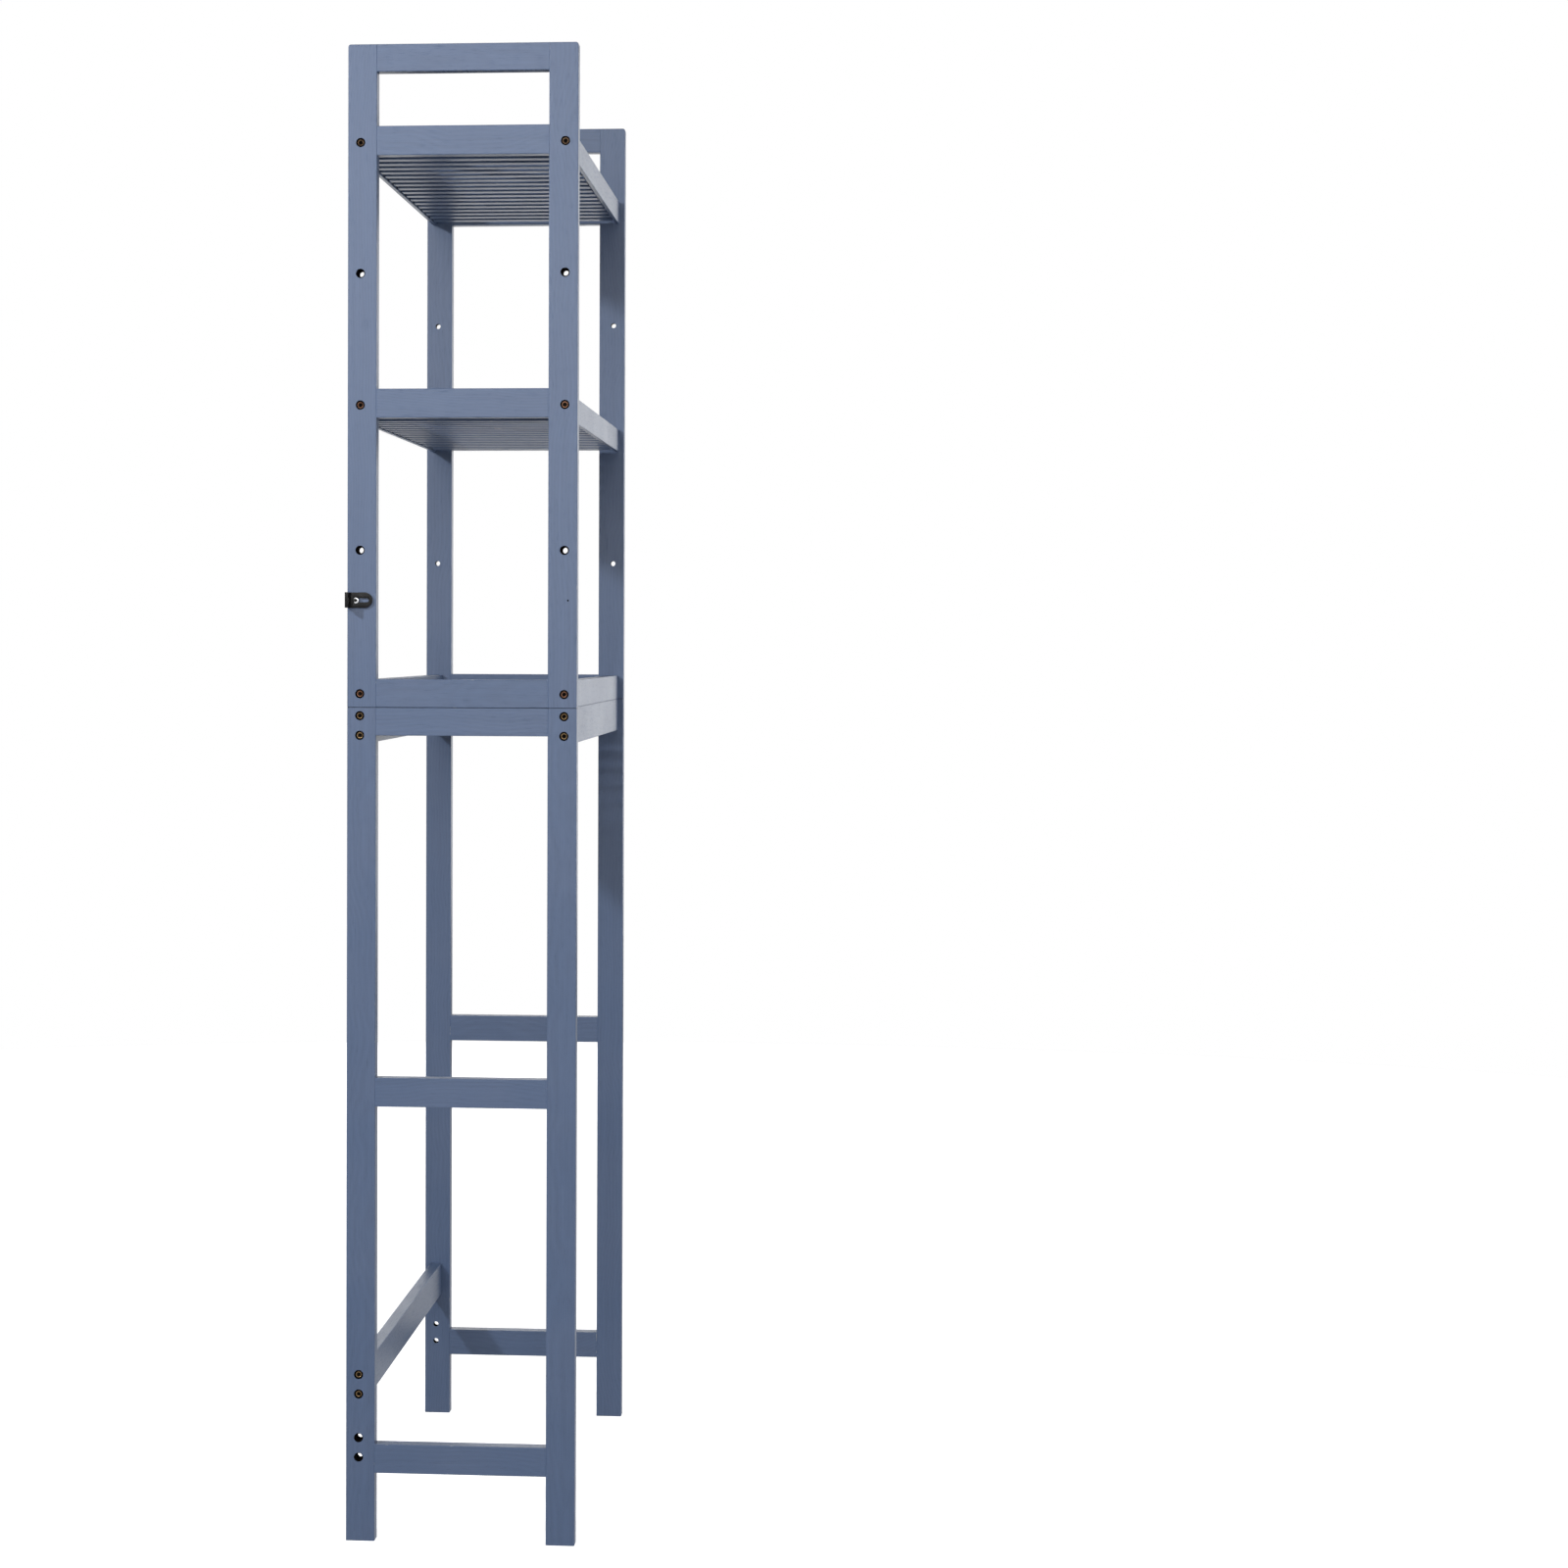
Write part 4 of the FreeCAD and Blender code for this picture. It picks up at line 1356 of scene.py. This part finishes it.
    def recess_wing(self, matrix: Matrix) -> bpy.types.Object:
        """One wing pair of the cross recess, tapering as it goes in.

        Args:
            matrix: Where it goes: the middle of the head's top, looking in.

        Returns:
            The cutting tool.
        """
        mesh = bmesh.new()
        rows = []
        for height, long, wide in ((-1.0 * MM, 2.3 * MM, 0.62 * MM), (1.5 * MM, 0.9 * MM, 0.34 * MM)):
            corners = ((-long, -wide), (long, -wide), (long, wide), (-long, wide))
            rows.append([mesh.verts.new(matrix @ Vector((x, y, height))) for x, y in corners])
            mesh.faces.new(rows[-1])
        for index in range(4):
            after = (index + 1) % 4
            mesh.faces.new((rows[0][index], rows[0][after], rows[1][after], rows[1][index]))
        return new_object("wing", mesh)

    def build(self) -> None:
        """Makes the moulding and its screw."""
        self.build_moulding()
        self.build_screw()


# ---- studio ----


@dataclass(frozen=True)
class SoftBox:
    """A rectangular light that the camera does not see."""

    name: str
    place: Colour
    aim: Colour
    wide: float
    tall: float
    power: float
    tint: Colour = (1.0, 1.0, 1.0)

    def build(self) -> bpy.types.Object:
        """Makes the light.

        Returns:
            The light, aimed.
        """
        data = bpy.data.lights.new(self.name, "AREA")
        data.shape = "RECTANGLE"
        data.size, data.size_y = self.wide, self.tall
        data.energy = self.power
        data.color = self.tint
        light = bpy.data.objects.new(self.name, data)
        bpy.context.scene.collection.objects.link(light)
        way = Vector(self.aim) - Vector(self.place)
        turned = way.to_track_quat("-Z", "Y").to_matrix().to_4x4()
        light.matrix_world = Matrix.Translation(self.place) @ turned
        light.visible_camera = False
        return light


@dataclass
class Studio:
    """Pale floor, even surroundings, soft boxes and the camera."""

    floor_radius: float = 4.4
    surroundings: float = 0.01
    backdrop: float = 1.0
    camera_place: Colour = (-4.0453, -0.4796, 0.9949)
    camera_yaw: float = 4.8958
    camera_pitch: float = -0.97
    camera_roll: float = 0.1706
    lens: float = 78.336
    shift: tuple[float, float] = (0.11252, -0.0538)

    def build_floor(self) -> None:
        """A large pale disc at the rack's feet."""
        mesh = bmesh.new()
        bmesh.ops.create_circle(mesh, cap_ends=True, segments=96, radius=self.floor_radius)
        floor = new_object("floor", mesh)
        floor.data.materials.append(StudioFloor().material("pale_floor"))

    def build_world(self) -> None:
        """Even soft light from all round, in front of a pale background."""
        world = bpy.data.worlds.new("studio")
        bpy.context.scene.world = world
        world.use_nodes = True
        nodes, links = world.node_tree.nodes, world.node_tree.links
        nodes.clear()
        path = nodes.new("ShaderNodeLightPath")
        lighting, seen = nodes.new("ShaderNodeBackground"), nodes.new("ShaderNodeBackground")
        lighting.inputs["Strength"].default_value = self.surroundings
        lighting.inputs["Color"].default_value = (1.0, 1.0, 1.0, 1.0)
        seen.inputs["Strength"].default_value = self.backdrop
        seen.inputs["Color"].default_value = (1.0, 1.0, 1.0, 1.0)
        mixed = nodes.new("ShaderNodeMixShader")
        output = nodes.new("ShaderNodeOutputWorld")
        links.new(path.outputs["Is Camera Ray"], mixed.inputs[0])
        links.new(lighting.outputs[0], mixed.inputs[1])
        links.new(seen.outputs[0], mixed.inputs[2])
        links.new(mixed.outputs[0], output.inputs["Surface"])

    def build_lights(self) -> None:
        """Soft boxes round the rack."""
        boxes = (
            SoftBox("key", (-2.0, 1.48, 2.15), (0.0, 0.0, 0.9), 0.14, 0.14, 37.0),
            SoftBox("camera_side", (-4.8, 0.2, 2.2), (0.0, 0.0, 0.9), 2.0, 2.0, 77.0),
            SoftBox("camera_low", (-4.8, 0.2, 0.6), (0.0, 0.0, 0.7), 2.0, 1.0, 10.0),
            SoftBox("front_left", (-3.0, -2.2, 1.4), (0.0, 0.0, 0.9), 1.0, 2.0, 28.0),
            SoftBox("front", (0.5, -3.2, 1.8), (0.0, 0.0, 0.9), 2.0, 2.0, 43.0),
            SoftBox("bright_wall", (4.5, 0.0, 1.45), (0.0, 0.0, 1.45), 9.0, 2.3, 119.0),
            SoftBox("behind", (0.3, 3.2, 2.0), (0.0, 0.0, 0.9), 2.0, 2.0, 10.0),
        )
        for box in boxes:
            box.build()

    def build_camera(self) -> None:
        """The camera, looking at the rack from its left-hand end."""
        turns = (self.camera_yaw, self.camera_pitch, self.camera_roll)
        yaw, pitch, roll = (math.radians(turn) for turn in turns)
        forward = Vector((math.cos(yaw) * math.cos(pitch), math.sin(yaw) * math.cos(pitch), math.sin(pitch)))
        level = Vector((math.sin(yaw), -math.cos(yaw), 0.0))
        above = level.cross(forward)
        right = level * math.cos(roll) + above * math.sin(roll)
        up = above * math.cos(roll) - level * math.sin(roll)
        data = bpy.data.cameras.new("camera")
        data.lens, data.sensor_width = self.lens, 36.0
        data.shift_x, data.shift_y = self.shift
        data.clip_end = 200.0
        camera = bpy.data.objects.new("camera", data)
        bpy.context.scene.collection.objects.link(camera)
        turned = Matrix((right, up, -forward)).transposed().to_4x4()
        camera.matrix_world = Matrix.Translation(self.camera_place) @ turned
        bpy.context.scene.camera = camera

    def build(self) -> None:
        """Sets up everything round the rack, and plain colour handling."""
        self.build_floor()
        self.build_world()
        self.build_lights()
        self.build_camera()
        bpy.context.scene.view_settings.view_transform = "Standard"
        bpy.context.scene.view_settings.look = "None"


# ---- the whole rack ----


def main() -> None:
    """Builds the studio and every sub-assembly."""
    logging.basicConfig(level=logging.INFO, format="%(name)s: %(message)s")
    Studio().build()

    paint_finish = PaintedWood()
    seeds = iter(range(100, 1000, 10))
    for tier in Tier:
        for hand in Hand:
            SideFrame(tier, hand, paint_finish, next(seeds)).build()
            stem = f"{tier.value}_{hand.name.lower()}"
            DowelSet(f"{stem}_frame_dowels", BareWood()).build()
    for name in ("top_shelf", "middle_shelf", "bottom_shelf"):
        SlattedShelf(name, paint_finish, next(seeds)).build()
    for node in ("front_apron", "back_apron", "back_stretcher"):
        CrossRail(node, paint_finish, next(seeds)).build()

    bronze = PlatedMetal("bronze_bolt", (0.090, 0.058, 0.036), (0.030, 0.020, 0.013), 0.26)
    brass = PlatedMetal("bronze_bolt", (0.20, 0.135, 0.070), (0.060, 0.040, 0.022), 0.24)
    zinc = PlatedMetal("zinc_insert", (0.62, 0.63, 0.65), (0.36, 0.36, 0.36), 0.34, 0.3)
    bright = PlatedMetal("zinc_screw", (0.80, 0.81, 0.83), (0.55, 0.55, 0.56), 0.20, 0.2)
    # Near-black painted shade for the bolts' rims and sockets, where the counterbores shade them.
    rim_shade_plate = PlatedMetal("bronze_bolt", (0.010, 0.008, 0.007), (0.005, 0.004, 0.004), 0.50)
    copper = PlatedMetal("bronze_bolt", (0.16, 0.080, 0.050), (0.050, 0.028, 0.020), 0.24)
    plates = {"top_shelf": bronze, "middle_shelf": copper, "bottom_shelf": copper,
              "apron": brass, "stretcher": brass}
    for place, (name, plate) in enumerate(plates.items()):
        BoltSet(f"{name}_bolts", plate, rim_shade_plate, 40 + place).build()
        InsertSet(f"{name}_inserts", zinc).build()
    JoiningPins(zinc).build()
    for hand in Hand:
        WallAnchor(hand, MouldedPlastic(), bright).build()


if __name__ == "__main__":
    main()
